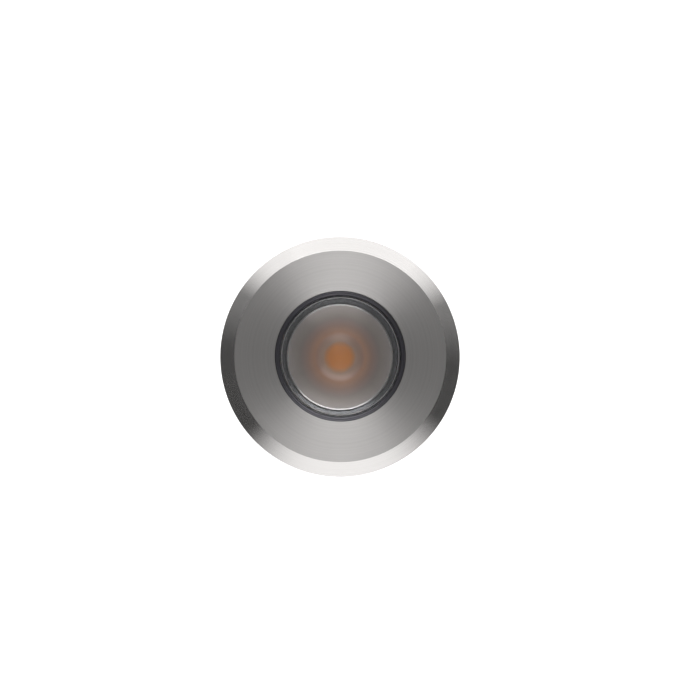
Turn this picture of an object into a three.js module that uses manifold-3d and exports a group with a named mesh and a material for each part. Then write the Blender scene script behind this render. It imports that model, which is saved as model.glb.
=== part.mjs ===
// In-ground marker light: a turned stainless steel ring with a bevelled edge lies on the paving,
// and a slim black barrel hangs below it in a drilled hole, held there by three leaf springs.
// The ring screws down over a stepped glass in a rubber seal. Under the glass sit a frosted
// collimating lens in its black holder, the LED on its star board, and a web that carries the
// heat away. The driver board hangs under the web, and an end cap with a cable gland closes it.
//
// Millimetres, +Z up along the light's axis. The origin is on that axis, in the plane of the
// ring's underside, which is the face that rests on the paving.
import * as THREE from 'three';
import { mergeVertices } from 'three/addons/utils/BufferGeometryUtils.js';
import Module from 'manifold-3d';

const wasm = await Module();
wasm.setup();

// Facets round a full turn: of the large turned pieces, of those inside, and of small ones.
const wideFacets = 36;
const midFacets = 24;
const smallFacets = 12;
const hexSides = 6;

// Shared clearances.
const fitGap = 0.1; // round pieces that slide together
const squeezeGap = 0.05; // a ring seal, drawn as squeezed, to the walls that squeeze it
const overrun = 1; // how far a cutter passes the faces that it opens
const threadGap = 0.2; // male to female thread, both drawn plain
const boltGap = 0.1; // a screw's shank in its hole
const screwHoleDepth = 0.4; // how much deeper a blind hole is than its screw
const screwHeadGap = 0.25; // a screw's head to the wall or edge beside it

// Collimating lens, the size that the rest is built round.
const opticRadius = 10;
const opticHeight = 10.6;
const opticFlange = 1;
const opticFlangeStep = 0.6;
const opticBaseRadius = 4;
const opticWellRadius = 2.9;
const opticWellDepth = 3.4;
const opticWellBulge = 0.9;
const opticFaceDish = 0.25;
const opticSideShares = [0, 0.08, 0.25, 0.5, 0.75, 1];
const opticCurveShare = 0.7;

// Lens holder.
const holderRimWall = 1.65;
const holderRimHeight = 3.2;
const holderWall = 1.1;
const holderLensGap = 0.3;
const holderFootWidth = 0.8;
const holderFootHeight = 1.2;
const holderFootLift = 0.4; // the lens's base to the board
const holderWindowWidth = 3.4;
const holderWindowMargin = 1.1;
const holderWindows = 3;

// Barrel.
const holderToNeck = 0.3;
const neckWall = 2.65;
const neckChamferWidth = 0.4;
const neckLand = 1.2;
const barrelWall = 3.7;
const barrelChamferWidth = 0.4;
const webThickness = 4;
const driverBayDepth = 15;
const finCount = 4;
const finGrooveWidth = 1;
const finGrooveDepth = 0.9;
const finPitch = 2.2;
const finTopLand = 2;

// Bezel ring.
const bezelThickness = 3;
const bezelEdge = 0.8;
const bevelWidth = 2.7;
const flangeOverhang = 6;
const lipThickness = 1.4;
const skirtWall = 1.6;
const skirtLength = 9;
const skirtChamferWidth = 0.4;
const seatReliefDepth = 0.3;
const seatReliefWidth = 0.7;
const skirtToShoulder = 0.3;

// Glass, its rubber seal and the slip washer that keeps the turning ring from dragging the seal.
const glassMargin = 1.25;
const glassRecess = 0.2;
const glassChamferWidth = 0.4;
const glassFlangeThickness = 2.4;
const glassToOptic = 0.4;
const slipWasherThickness = 0.3;
const sealFlange = 0.7;
const sealFoot = 0.8;
const sealWall = 1;
const sealCollar = 0.8;
const sealCollarDrop = 0.3;
const sealBeadRadius = 0.22;
const sealToSkirt = 0.3;

// Ring seals of the neck and of the end cap.
const neckRingSection = 1.3;
const capRingSection = 1.1;
const ringSectionSides = 6;
const grooveSlack = 0.3;

// LED and its star board.
const boardToNeck = 2.05;
const boardThickness = 1.6;
const notchRadius = 1.6;
const notchCount = 6;
const thermalPadThickness = 0.5;
const ledPackageWidth = 3.45;
const ledPackageHeight = 0.7;
const ledDomeRadius = 1.35;
const solderPad = { x: 1.7, y: 1.8, z: 0.12 };

// Screws: M2.5 on the LED board, M2 on the driver board, the end cap and the springs.
const boardScrew = { shankRadius: 1.2, headRadius: 2.1, headHeight: 1.4, biteDepth: 2.6 };
const driverScrew = { shankRadius: 0.9, headRadius: 1.7, headHeight: 1.1, biteDepth: 2.4 };
const capScrew = { shankRadius: 1, headRadius: 1.6, headHeight: 1.1, biteDepth: 5 };
const springScrew = { shankRadius: 0.95, headRadius: 1.6, headHeight: 0.9, biteDepth: 1.6 };
const headCrownShare = 0.45;

// LED leads.
const leadRadius = 0.65;
const leadHoleGap = 0.5;
const leadBendRadius = 1.2;
const leadToHolderGap = 0.3;
const leadSides = 6;
const leadSteps = 14;

// Driver board and what is on it, laid out from the rectifier at its middle.
const driverBoardThickness = 1.2;
const driverBoardMargin = 0.8;
const driverBoardToBay = 0.4;
const spacerHeight = 5;
const spacerRadius = 2.2;
const spacerInset = 2.8;
const spacerAngles = [30, 150, 270];
const partSpacing = 0.9;
const partsDrop = 3.2; // how far the coil and the capacitor lie off the board's middle line
const rectifierSize = { x: 4.4, y: 6, z: 2.4 };
const rectifierDrop = 1.5;
const coilRadius = 3.9;
const coilHeight = 5;
const coilFlange = 0.9;
const coilWaistDepth = 0.7;
const capacitorRadius = 3.15;
const capacitorHeight = 10;
const capacitorGrooveDepth = 0.35;
const terminalSize = { x: 8, y: 6.6, z: 8.5 };
const terminalChamferWidth = 1.6;
const terminalPortRadius = 1.5;
const terminalPortDepth = 4;

// End cap.
const capThickness = 4;
const capSpigotHeight = 3.6;
const capSpigotGap = 0.15;
const capChamferWidth = 0.4;
const capScrewAngles = [30, 150, 270];

// Cable gland.
const glandShankRadius = 5.9;
const glandShankLength = 7;
const glandBoreRadius = 4.2;
const glandFlats = 15; // across the hexagon's flats
const glandHexHeight = 5;
const glandWasherThickness = 1;
const glandWasherWidth = 1.5;
const glandNutThreadRadius = 6;
const glandThreadLength = 6.6;
const glandClawLength = 4;
const glandClawWall = 0.9;
const glandSlots = 6;
const glandSlotWidth = 0.8;
const glandSealBoreRadius = 3.3;
const glandSealReach = 1; // how far the seal stands out past the claws
const glandSealStart = 0.4;
const glandNutHeight = 11;
const glandNutGap = 0.8;
const glandNutMouthRadius = 3.9;
const glandNutWall = 1.3;
const glandNutDome = 4;
const hexChamferWidth = 0.8;
const hexChamferAngle = 30;

// Leaf springs.
const springAngles = [90, 210, 330];
const springWidth = 6;
const springTipWidth = 4.2;
const springThickness = 0.5;
const springFoot = 4.6;
const springScrewDrop = 2.2;
const springRise = 17.5;
const springReach = 4.25;
const springTipRise = 3;
const springTipCurl = 0.9;
const springSeatGap = 0.2;
const springScrewPlay = 0.5; // the room under the head that lets the strip's foot rock
const springFootToCap = 3;
const pocketDepth = 1.2;
const pocketSideGap = 0.6;
const pocketEndGap = 0.8;
const pocketCornerRadius = 1.2;

// Radii, from the lens outwards.
const holderRadius = opticRadius + fitGap + holderRimWall;
const neckBore = holderRadius + holderToNeck;
const neckRadius = neckBore + neckWall;
const skirtBore = neckRadius + threadGap;
const glassPadRadius = opticRadius + glassMargin;
const collarInner = glassPadRadius + fitGap;
const collarOuter = collarInner + sealCollar;
const faceOpening = collarOuter + fitGap;
const sealRadius = skirtBore - sealToSkirt;
const glassFlangeRadius = sealRadius - sealWall;

// Driver board layout: the coil is on the left of the rectifier and the capacitor on the right.
const coilX = -(rectifierSize.x / 2 + partSpacing + coilRadius);
const capacitorX = rectifierSize.x / 2 + partSpacing + capacitorRadius;
const terminalY = rectifierSize.y / 2 - rectifierDrop + partSpacing + terminalSize.y / 2;
const layoutReach = Math.max(
  Math.hypot(coilX, partsDrop) + coilRadius,
  Math.hypot(capacitorX, partsDrop) + capacitorRadius,
  Math.hypot(terminalSize.x / 2, terminalY + terminalSize.y / 2),
);

// The barrel is as wide as the neck's thread or the driver bay needs, whichever is more.
const bayForBoard = layoutReach + driverBoardMargin + driverBoardToBay;
const barrelRadius = Math.max(skirtBore + skirtWall, bayForBoard + barrelWall);
const bayRadius = barrelRadius - barrelWall;
const driverBoardRadius = bayRadius - driverBoardToBay;
const bezelRadius = barrelRadius + flangeOverhang;

// Levels, from the ring's face downwards.
const faceLevel = bezelThickness;
const lipUnderside = faceLevel - lipThickness;
const glassTop = faceLevel - glassRecess;
const collarTop = glassTop - sealCollarDrop;
const sealTop = lipUnderside - slipWasherThickness;
const glassStep = sealTop - sealFlange;
const glassBottom = glassStep - glassFlangeThickness;
const neckTop = glassBottom - sealFoot;
const skirtBottom = -skirtLength;
const shoulder = skirtBottom - skirtToShoulder;
const opticTop = glassBottom - glassToOptic;
const opticBottom = opticTop - opticHeight;
const boardTop = opticBottom - holderFootLift;
const boardBottom = boardTop - boardThickness;
const webTop = boardBottom - thermalPadThickness;
const webBottom = webTop - webThickness;
const driverTop = webBottom - spacerHeight;
const driverBottom = driverTop - driverBoardThickness;
const spigotTop = driverBottom - driverBayDepth;
const barrelBottom = spigotTop - capSpigotHeight;
const capBottom = barrelBottom - capThickness;
const glandHexTop = capBottom - glandWasherThickness;
const glandHexBottom = glandHexTop - glandHexHeight;
const glandClawEnd = glandHexBottom - glandThreadLength;
const nutTop = glandHexBottom - glandNutGap;
const nutBottom = nutTop - glandNutHeight;
const springBend = barrelBottom + springFootToCap + springFoot;

// Circles that screws stand on.
const boardScrewCircle = neckBore - boardScrew.headRadius - screwHeadGap;
const starRadius = neckBore - boardToNeck;
const holderFootRadius = opticBaseRadius + holderLensGap + holderWall + holderFootWidth;
const spacerCircle = driverBoardRadius - spacerInset;
const capScrewCircle = barrelRadius - capChamferWidth - capScrew.headRadius;
const boardScrewAngles = [0, 180];
const leadAngles = [60, 240];

const quarterTurn = Math.PI / 2;
const radians = THREE.MathUtils.degToRad;

// Shape helpers. A profile is a list of [radius, height] pairs, and every piece is made in place.

// A turned solid. Its profile starts and ends on the axis, or is a ring's whole section.
function revolve(profile, facets = wideFacets) {
  const points = profile.map(([r, z]) => new THREE.Vector2(r, z));
  const solidCore = points[0].x === 0 && points.at(-1).x === 0;
  if (THREE.ShapeUtils.area(points) < 0) points.reverse();
  if (!solidCore) points.push(points[0].clone());
  return new THREE.LatheGeometry(points, facets).rotateX(quarterTurn);
}

// A rod or drill along Z, between two levels, round or with few sides.
function rod(radius, low, high, facets = smallFacets, x = 0, y = 0) {
  const geometry = new THREE.CylinderGeometry(radius, radius, high - low, facets);
  return geometry.rotateX(quarterTurn).translate(x, y, (low + high) / 2);
}

function block(size, x, y, low) {
  const geometry = new THREE.BoxGeometry(size.x, size.y, size.z);
  return geometry.translate(x, y, low + size.z / 2);
}

// From a hexagon's middle to its corners, given the width across its flats.
function hexCorner(flats) {
  return flats / 2 / Math.cos(Math.PI / hexSides);
}

// A hexagonal bar with its ends turned down at the corners, as a lathe leaves them.
function hexBar(flats, low, high) {
  const corner = hexCorner(flats);
  const bar = rod(corner, low, high, hexSides);
  const drop = hexChamferWidth * Math.tan(radians(hexChamferAngle));
  const turned = revolve(
    [
      [0, low],
      [corner - hexChamferWidth, low],
      [corner, low + drop],
      [corner, high - drop],
      [corner - hexChamferWidth, high],
      [0, high],
    ],
    midFacets,
  );
  return intersect(bar, turned);
}

// A rubber ring of round section, in a groove that leaves it just clear of this outer wall.
function ringSeal(wallRadius, section, middle) {
  const half = section / 2;
  const centre = wallRadius - squeezeGap - half;
  const ring = new THREE.TorusGeometry(centre, half, ringSectionSides, wideFacets);
  return ring.translate(0, 0, middle);
}

function ringGrooveFloor(wallRadius, section) {
  return wallRadius - 2 * squeezeGap - section;
}

function toSolid(geometry) {
  const bare = geometry.clone();
  bare.deleteAttribute('normal');
  bare.deleteAttribute('uv');
  const merged = mergeVertices(bare);
  const vertProperties = merged.attributes.position.array;
  const triVerts = new Uint32Array(merged.index.array);
  return new wasm.Manifold(new wasm.Mesh({ numProp: 3, vertProperties, triVerts }));
}

function toGeometry(solid) {
  const mesh = solid.getMesh();
  const geometry = new THREE.BufferGeometry();
  geometry.setAttribute('position', new THREE.BufferAttribute(mesh.vertProperties, 3));
  geometry.setIndex(new THREE.BufferAttribute(mesh.triVerts, 1));
  const faceted = geometry.toNonIndexed();
  faceted.computeVertexNormals();
  return faceted;
}

function cut(base, cutters) {
  const left = cutters.reduce((solid, cutter) => solid.subtract(toSolid(cutter)), toSolid(base));
  return toGeometry(left);
}

function join(base, additions) {
  const whole = additions.reduce((solid, piece) => solid.add(toSolid(piece)), toSolid(base));
  return toGeometry(whole);
}

function intersect(a, b) {
  return toGeometry(toSolid(a).intersect(toSolid(b)));
}

// The points of a round arc in a profile, both ends included.
function arc(centreR, centreZ, radius, fromDegrees, toDegrees, steps) {
  return Array.from({ length: steps + 1 }, (_, i) => {
    const angle = radians(fromDegrees + ((toDegrees - fromDegrees) * i) / steps);
    return [centreR + radius * Math.cos(angle), centreZ + radius * Math.sin(angle)];
  });
}

function polar(radius, degrees) {
  return [radius * Math.cos(radians(degrees)), radius * Math.sin(radians(degrees))];
}

// A pan head screw along Z. Its head stands on the level z = 0 and its shank goes down from there.
function panScrew({ shankRadius, headRadius, headHeight }, length) {
  const rim = headHeight * (1 - headCrownShare);
  const crown = headHeight * headCrownShare;
  return revolve(
    [
      [0, -length],
      [shankRadius, -length],
      [shankRadius, 0],
      [headRadius, 0],
      [headRadius, rim],
      [headRadius - crown, rim + (crown * 3) / 4],
      [0, headHeight],
    ],
    smallFacets,
  );
}

const group = new THREE.Group();
const finishes = {
  steel: new THREE.MeshStandardMaterial({ color: 0xb8b5b1, metalness: 1, roughness: 0.3 }),
  spring: new THREE.MeshStandardMaterial({ color: 0xc2c0bc, metalness: 1, roughness: 0.25 }),
  screw: new THREE.MeshStandardMaterial({ color: 0xa9a7a3, metalness: 1, roughness: 0.35 }),
  barrel: new THREE.MeshStandardMaterial({ color: 0x2b2c2f, metalness: 0.6, roughness: 0.5 }),
  rubber: new THREE.MeshStandardMaterial({ color: 0x1b1b1d, metalness: 0, roughness: 0.7 }),
  washer: new THREE.MeshStandardMaterial({ color: 0xe6e4de, metalness: 0, roughness: 0.6 }),
  glass: new THREE.MeshStandardMaterial({
    color: 0xe9f1ee,
    metalness: 0,
    roughness: 0.03,
    transparent: true,
    opacity: 0.3,
  }),
  optic: new THREE.MeshStandardMaterial({
    color: 0xc9c3bb,
    metalness: 0,
    roughness: 0.45,
    transparent: true,
    opacity: 0.85,
  }),
  holder: new THREE.MeshStandardMaterial({ color: 0x242427, metalness: 0, roughness: 0.4 }),
  ceramic: new THREE.MeshStandardMaterial({ color: 0xeceae4, metalness: 0, roughness: 0.6 }),
  phosphor: new THREE.MeshStandardMaterial({ color: 0xdd7f1c, metalness: 0, roughness: 0.3 }),
  starBoard: new THREE.MeshStandardMaterial({ color: 0xe6e6e1, metalness: 0.1, roughness: 0.5 }),
  pad: new THREE.MeshStandardMaterial({ color: 0x8fa3b5, metalness: 0, roughness: 0.8 }),
  circuit: new THREE.MeshStandardMaterial({ color: 0x1e5a36, metalness: 0.1, roughness: 0.5 }),
  component: new THREE.MeshStandardMaterial({ color: 0x232326, metalness: 0, roughness: 0.5 }),
  can: new THREE.MeshStandardMaterial({ color: 0x2d3f78, metalness: 0.2, roughness: 0.4 }),
  terminal: new THREE.MeshStandardMaterial({ color: 0x3f8a4d, metalness: 0, roughness: 0.5 }),
  redLead: new THREE.MeshStandardMaterial({ color: 0xb02a22, metalness: 0, roughness: 0.5 }),
  blackLead: new THREE.MeshStandardMaterial({ color: 0x202022, metalness: 0, roughness: 0.5 }),
  nickel: new THREE.MeshStandardMaterial({ color: 0xc3bdb0, metalness: 1, roughness: 0.28 }),
};

function add(name, finish, geometry) {
  const mesh = new THREE.Mesh(geometry, finishes[finish]);
  mesh.name = name;
  group.add(mesh);
  return mesh;
}

// Bezel: the bevelled ring, the lip over the glass, and the skirt whose thread takes the neck.
function bezelGeometry() {
  return revolve([
    [faceOpening, faceLevel],
    [faceOpening, lipUnderside],
    [skirtBore, lipUnderside],
    [skirtBore, skirtBottom + skirtChamferWidth],
    [skirtBore + skirtChamferWidth, skirtBottom],
    [barrelRadius - skirtChamferWidth, skirtBottom],
    [barrelRadius, skirtBottom + skirtChamferWidth],
    [barrelRadius, seatReliefDepth],
    [barrelRadius + seatReliefWidth, seatReliefDepth],
    [barrelRadius + seatReliefWidth, 0],
    [bezelRadius, 0],
    [bezelRadius, bezelEdge],
    [bezelRadius - bevelWidth, faceLevel],
  ]);
}

function slipWasherGeometry() {
  const inner = faceOpening + fitGap;
  return revolve([
    [inner, sealTop],
    [sealRadius, sealTop],
    [sealRadius, lipUnderside],
    [inner, lipUnderside],
  ]);
}

// Seal: a channel round the glass's flange, with a beaded collar that shows round the glass.
function lensSealGeometry() {
  const beadCentre = (collarInner + collarOuter) / 2;
  const flangeGroove = glassFlangeRadius + fitGap;
  const footInner = neckBore + fitGap;
  return revolve([
    [collarInner, glassStep],
    [collarInner, collarTop],
    ...arc(beadCentre, collarTop, sealBeadRadius, 180, 0, 4),
    [collarOuter, collarTop],
    [collarOuter, sealTop],
    [sealRadius, sealTop],
    [sealRadius, neckTop],
    [footInner, neckTop],
    [footInner, glassBottom],
    [flangeGroove, glassBottom],
    [flangeGroove, glassStep],
  ]);
}

function coverGlassGeometry() {
  return revolve([
    [0, glassBottom],
    [glassFlangeRadius, glassBottom],
    [glassFlangeRadius, glassStep],
    [glassPadRadius, glassStep],
    [glassPadRadius, glassTop - glassChamferWidth],
    [glassPadRadius - glassChamferWidth, glassTop],
    [0, glassTop],
  ]);
}

// How far out the collimator's side lies, from 0 at its foot to 1 under its flange.
function opticSide(share) {
  const shoulderRadius = opticRadius - opticFlangeStep;
  return opticBaseRadius + (shoulderRadius - opticBaseRadius) * share ** opticCurveShare;
}

function opticSideLevel(share) {
  return opticBottom + (opticTop - opticFlange - opticBottom) * share;
}

// Collimator: a flat rim round a dished face, a curved side, and a well over the LED with a bulge
// in its roof that bends the middle of the beam.
function opticGeometry() {
  const side = opticSideShares.map((share) => [opticSide(share), opticSideLevel(share)]);
  const wellTop = opticBottom + opticWellDepth;
  const faceShares = [1, 0.7, 0.4, 0];
  const dish = faceShares.map((share) => [
    (opticRadius - opticFlangeStep) * share,
    opticTop - opticFaceDish * (1 - share ** 2),
  ]);
  return revolve(
    [
      [0, wellTop - opticWellBulge],
      [opticWellRadius / 2, wellTop - (opticWellBulge * 3) / 4],
      [opticWellRadius, wellTop],
      [opticWellRadius, opticBottom],
      ...side,
      [opticRadius, opticTop - opticFlange],
      [opticRadius, opticTop],
      ...dish,
    ],
    midFacets,
  );
}

// Holder: a rim round the lens, a cone that follows the lens's side, and a foot on the board.
function holderGeometry() {
  const innerAt = (share) => opticSide(share) + holderLensGap;
  const ledge = opticTop - opticFlange - holderLensGap;
  const rimBottom = opticTop - holderRimHeight;
  const inside = opticSideShares.map((share) => [
    innerAt(share),
    Math.min(opticSideLevel(share), ledge),
  ]);
  const footTop = boardTop + holderFootHeight;
  const outside = opticSideShares
    .map((share) => [innerAt(share) + holderWall, opticSideLevel(share)])
    .filter(([, level]) => level > footTop && level < rimBottom);
  const shell = revolve(
    [
      [opticRadius + fitGap, opticTop],
      [opticRadius + fitGap, ledge],
      ...inside.reverse(),
      [innerAt(0), boardTop],
      [holderFootRadius, boardTop],
      [holderFootRadius, footTop],
      ...outside,
      [holderRadius, rimBottom],
      [holderRadius, opticTop],
    ],
    midFacets,
  );
  const windowLow = footTop + holderWindowMargin;
  const windowHigh = rimBottom - holderWindowMargin;
  const size = { x: holderRadius + overrun, y: holderWindowWidth, z: windowHigh - windowLow };
  const windows = Array.from({ length: holderWindows }, (_, i) =>
    block(size, size.x / 2, 0, windowLow).rotateZ(radians((360 * i) / holderWindows)),
  );
  return cut(shell, windows);
}

// LED board: a round of clad aluminium with six notches in its edge, and a solder pad for each
// lead just inside the notch that the lead goes down through.
function starBoardGeometry() {
  const disc = rod(starRadius, boardBottom, boardTop, midFacets);
  const padCentre = boardScrewCircle - notchRadius - fitGap - solderPad.x / 2;
  const sunkPad = { ...solderPad, z: solderPad.z + boardThickness / 2 };
  const pads = leadAngles.map((degrees) =>
    block(sunkPad, padCentre, 0, boardTop - boardThickness / 2).rotateZ(radians(degrees)),
  );
  const notches = Array.from({ length: notchCount }, (_, i) => {
    const [x, y] = polar(boardScrewCircle, (360 * i) / notchCount);
    return rod(notchRadius, boardBottom - overrun, boardTop + overrun, smallFacets, x, y);
  });
  return cut(join(disc, pads), notches);
}

function thermalPadGeometry() {
  const radius = boardScrewCircle - notchRadius - fitGap;
  return rod(radius, webTop, boardBottom, midFacets);
}

function ledPackageGeometry() {
  const size = { x: ledPackageWidth, y: ledPackageWidth, z: ledPackageHeight };
  return block(size, 0, 0, boardTop);
}

function ledDomeGeometry() {
  const base = boardTop + ledPackageHeight;
  return revolve([[0, base], ...arc(0, base, ledDomeRadius, 0, 90, 5)], smallFacets);
}

// A lead starts on its solder pad, bends over the board's edge and runs down to the driver board.
function leadGeometry(degrees) {
  const high = boardTop + solderPad.z + leadRadius;
  const route = [
    [holderFootRadius + leadToHolderGap, high],
    ...arc(boardScrewCircle - leadBendRadius, high - leadBendRadius, leadBendRadius, 90, 0, 4),
    [boardScrewCircle, driverTop],
  ];
  const points = route.map(([r, z]) => new THREE.Vector3(...polar(r, degrees), z));
  const path = new THREE.CurvePath();
  points.slice(1).forEach((point, i) => path.add(new THREE.LineCurve3(points[i], point)));
  const section = new THREE.Shape().absarc(0, 0, leadRadius, 0, 2 * Math.PI);
  return new THREE.ExtrudeGeometry(section, {
    steps: leadSteps,
    curveSegments: leadSides / 2,
    extrudePath: path,
  });
}

// Barrel: one turned piece with a web between the lens bay above and the driver bay below.
function barrelGeometry() {
  const grooveFloor = ringGrooveFloor(skirtBore, neckRingSection);
  const grooveLow = shoulder + neckLand;
  const grooveHigh = grooveLow + neckRingSection + grooveSlack;
  const fins = Array.from({ length: finCount }, (_, i) => {
    const high = shoulder - finTopLand - finPitch * i;
    const low = high - finGrooveWidth;
    const floor = barrelRadius - finGrooveDepth;
    return [
      [barrelRadius, high],
      [floor, high],
      [floor, low],
      [barrelRadius, low],
    ];
  }).flat();
  const turned = revolve([
    [0, webTop],
    [neckBore, webTop],
    [neckBore, neckTop],
    [neckRadius - neckChamferWidth, neckTop],
    [neckRadius, neckTop - neckChamferWidth],
    [neckRadius, grooveHigh],
    [grooveFloor, grooveHigh],
    [grooveFloor, grooveLow],
    [neckRadius, grooveLow],
    [neckRadius, shoulder],
    [barrelRadius - barrelChamferWidth, shoulder],
    [barrelRadius, shoulder - barrelChamferWidth],
    ...fins,
    [barrelRadius, barrelBottom + barrelChamferWidth],
    [barrelRadius - barrelChamferWidth, barrelBottom],
    [bayRadius, barrelBottom],
    [bayRadius, webBottom],
    [0, webBottom],
  ]);
  return cut(turned, [
    ...springAngles.map(springPocket),
    ...springAngles.map(springScrewHole),
    ...boardScrewAngles.map((degrees) => {
      const [x, y] = polar(boardScrewCircle, degrees);
      const low = webTop - boardScrew.biteDepth - screwHoleDepth;
      return rod(boardScrew.shankRadius + boltGap, low, webTop + overrun, smallFacets, x, y);
    }),
    ...leadAngles.map((degrees) => {
      const [x, y] = polar(boardScrewCircle, degrees);
      const radius = leadRadius + leadHoleGap;
      return rod(radius, webBottom - overrun, webTop + overrun, smallFacets, x, y);
    }),
    ...spacerAngles.map((degrees) => {
      const [x, y] = polar(spacerCircle, degrees);
      const high = webBottom + driverScrew.biteDepth + screwHoleDepth;
      return rod(driverScrew.shankRadius + boltGap, webBottom - overrun, high, smallFacets, x, y);
    }),
    ...capScrewAngles.map((degrees) => {
      const [x, y] = polar(capScrewCircle, degrees);
      const high = barrelBottom + capScrew.biteDepth + screwHoleDepth;
      return rod(capScrew.shankRadius + boltGap, barrelBottom - overrun, high, smallFacets, x, y);
    }),
  ]);
}

function neckSealRingGeometry() {
  const middle = shoulder + neckLand + (neckRingSection + grooveSlack) / 2;
  return ringSeal(skirtBore, neckRingSection, middle);
}

// The milled flat behind each spring, with round corners, which takes the strip when it is pressed.
function springPocket(degrees) {
  const half = springWidth / 2 + pocketSideGap;
  const low = springBend - springFoot - pocketEndGap;
  const high = springBend + springRise + springTipRise + pocketEndGap;
  const corner = Math.min(pocketCornerRadius, half);
  const outline = new THREE.Shape();
  outline.moveTo(half - corner, low);
  outline.absarc(half - corner, low + corner, corner, -quarterTurn, 0);
  outline.absarc(half - corner, high - corner, corner, 0, quarterTurn);
  outline.absarc(corner - half, high - corner, corner, quarterTurn, Math.PI);
  outline.absarc(corner - half, low + corner, corner, Math.PI, Math.PI + quarterTurn);
  const depth = pocketDepth + overrun;
  const cutter = new THREE.ExtrudeGeometry(outline, {
    depth,
    curveSegments: 2,
    bevelEnabled: false,
  });
  return outward(cutter, barrelRadius - pocketDepth, 0, degrees);
}

// Stands a piece made along +Z on the barrel's side: its +Z then points outwards from the axis at
// this angle, its +Y points up, and its origin lies at this radius and level.
function outward(geometry, radius, level, degrees) {
  geometry.rotateY(quarterTurn).rotateX(quarterTurn);
  return geometry.translate(radius, 0, level).rotateZ(radians(degrees));
}

function springScrewHole(degrees) {
  const depth = springScrew.biteDepth + screwHoleDepth;
  const hole = rod(springScrew.shankRadius + boltGap, -depth, overrun);
  return outward(hole, barrelRadius - pocketDepth, springBend - springScrewDrop, degrees);
}

// Leaf spring: a strip with a flat foot, a sharp bend, an arm that leans outwards and a tip
// curled in. It is where a side view of the strip and a front view of the blade meet.
function springGeometry(degrees) {
  const side = new THREE.Path();
  side.moveTo(0, -springFoot);
  side.lineTo(0, 0);
  side.lineTo(springReach, springRise);
  side.quadraticCurveTo(
    springReach + springTipCurl / 2,
    springRise + springTipRise / 2,
    springReach - springTipCurl,
    springRise + springTipRise,
  );
  const line = side.getPoints(5);
  const half = springThickness / 2;
  const offset = (sign) =>
    line.map((point, i) => {
      const before = line[Math.max(i - 1, 0)];
      const after = line[Math.min(i + 1, line.length - 1)];
      const incoming = point.clone().sub(before);
      const outgoing = after.clone().sub(point);
      const along = incoming.normalize().add(outgoing.normalize());
      along.normalize();
      return new THREE.Vector2(point.x + sign * half * along.y, point.y - sign * half * along.x);
    });
  const strip = new THREE.Shape([...offset(1), ...offset(-1).reverse()]);
  const width = springWidth + 2 * overrun;
  const sideView = new THREE.ExtrudeGeometry(strip, { depth: width, bevelEnabled: false });
  // From radius and height in the drawing plane to radius along +Z and height along +Y.
  sideView.translate(0, 0, -width / 2).rotateY(-quarterTurn);

  const top = springRise + springTipRise + overrun;
  const tip = springTipWidth / 2;
  const wide = springWidth / 2;
  const blade = new THREE.Shape();
  blade.moveTo(-wide, -springFoot - overrun);
  blade.lineTo(wide, -springFoot - overrun);
  blade.lineTo(wide, 0);
  blade.lineTo(tip, springRise);
  blade.lineTo(tip, top);
  blade.lineTo(-tip, top);
  blade.lineTo(-tip, springRise);
  blade.lineTo(-wide, 0);
  const hole = new THREE.Path();
  const holeRadius = springScrew.shankRadius + 2 * boltGap;
  hole.absarc(0, -springScrewDrop, holeRadius, 0, 2 * Math.PI);
  blade.holes.push(hole);
  const room = springReach + springTipCurl + 2 * overrun;
  const frontView = new THREE.ExtrudeGeometry(blade, {
    depth: room,
    curveSegments: smallFacets / 2,
    bevelEnabled: false,
  });
  frontView.translate(0, 0, -overrun);
  const radius = barrelRadius - pocketDepth + springSeatGap + half;
  return outward(intersect(sideView, frontView), radius, springBend, degrees);
}

function springScrewGeometry(degrees) {
  const seat = springSeatGap + springThickness + springScrewPlay;
  const screw = panScrew(springScrew, seat + springScrew.biteDepth);
  const radius = barrelRadius - pocketDepth + seat;
  return outward(screw, radius, springBend - springScrewDrop, degrees);
}

// Spacer tube, six-sided, between the web and the driver board.
function spacerGeometry(degrees) {
  const [x, y] = polar(spacerCircle, degrees);
  const bar = rod(spacerRadius, driverTop, webBottom, hexSides, x, y);
  const bore = driverScrew.shankRadius + boltGap;
  return cut(bar, [rod(bore, driverTop - overrun, webBottom + overrun, smallFacets, x, y)]);
}

function driverBoardGeometry() {
  const disc = rod(driverBoardRadius, driverBottom, driverTop, wideFacets);
  const bore = driverScrew.shankRadius + boltGap;
  const holes = spacerAngles.map((degrees) => {
    const [x, y] = polar(spacerCircle, degrees);
    return rod(bore, driverBottom - overrun, driverTop + overrun, smallFacets, x, y);
  });
  return cut(disc, holes);
}

// Coil: a waisted drum.
function coilGeometry() {
  const low = driverBottom - coilHeight;
  const waist = coilRadius - coilWaistDepth;
  const drum = revolve(
    [
      [0, low],
      [coilRadius, low],
      [coilRadius, low + coilFlange],
      [waist, low + coilFlange + coilWaistDepth / 2],
      [waist, driverBottom - coilFlange - coilWaistDepth / 2],
      [coilRadius, driverBottom - coilFlange],
      [coilRadius, driverBottom],
      [0, driverBottom],
    ],
    midFacets,
  );
  return drum.translate(coilX, -partsDrop, 0);
}

// Capacitor: a can with the rolled groove above its rubber bung.
function capacitorGeometry() {
  const low = driverBottom - capacitorHeight;
  const groove = capacitorGrooveDepth * 2;
  const grooveTop = driverBottom - 2 * groove;
  const can = revolve(
    [
      [0, low],
      [capacitorRadius - capacitorGrooveDepth, low],
      [capacitorRadius, low + capacitorGrooveDepth],
      [capacitorRadius, grooveTop - groove],
      [capacitorRadius - capacitorGrooveDepth, grooveTop - capacitorGrooveDepth],
      [capacitorRadius, grooveTop],
      [capacitorRadius, driverBottom],
      [0, driverBottom],
    ],
    midFacets,
  );
  return can.translate(capacitorX, -partsDrop, 0);
}

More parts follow.
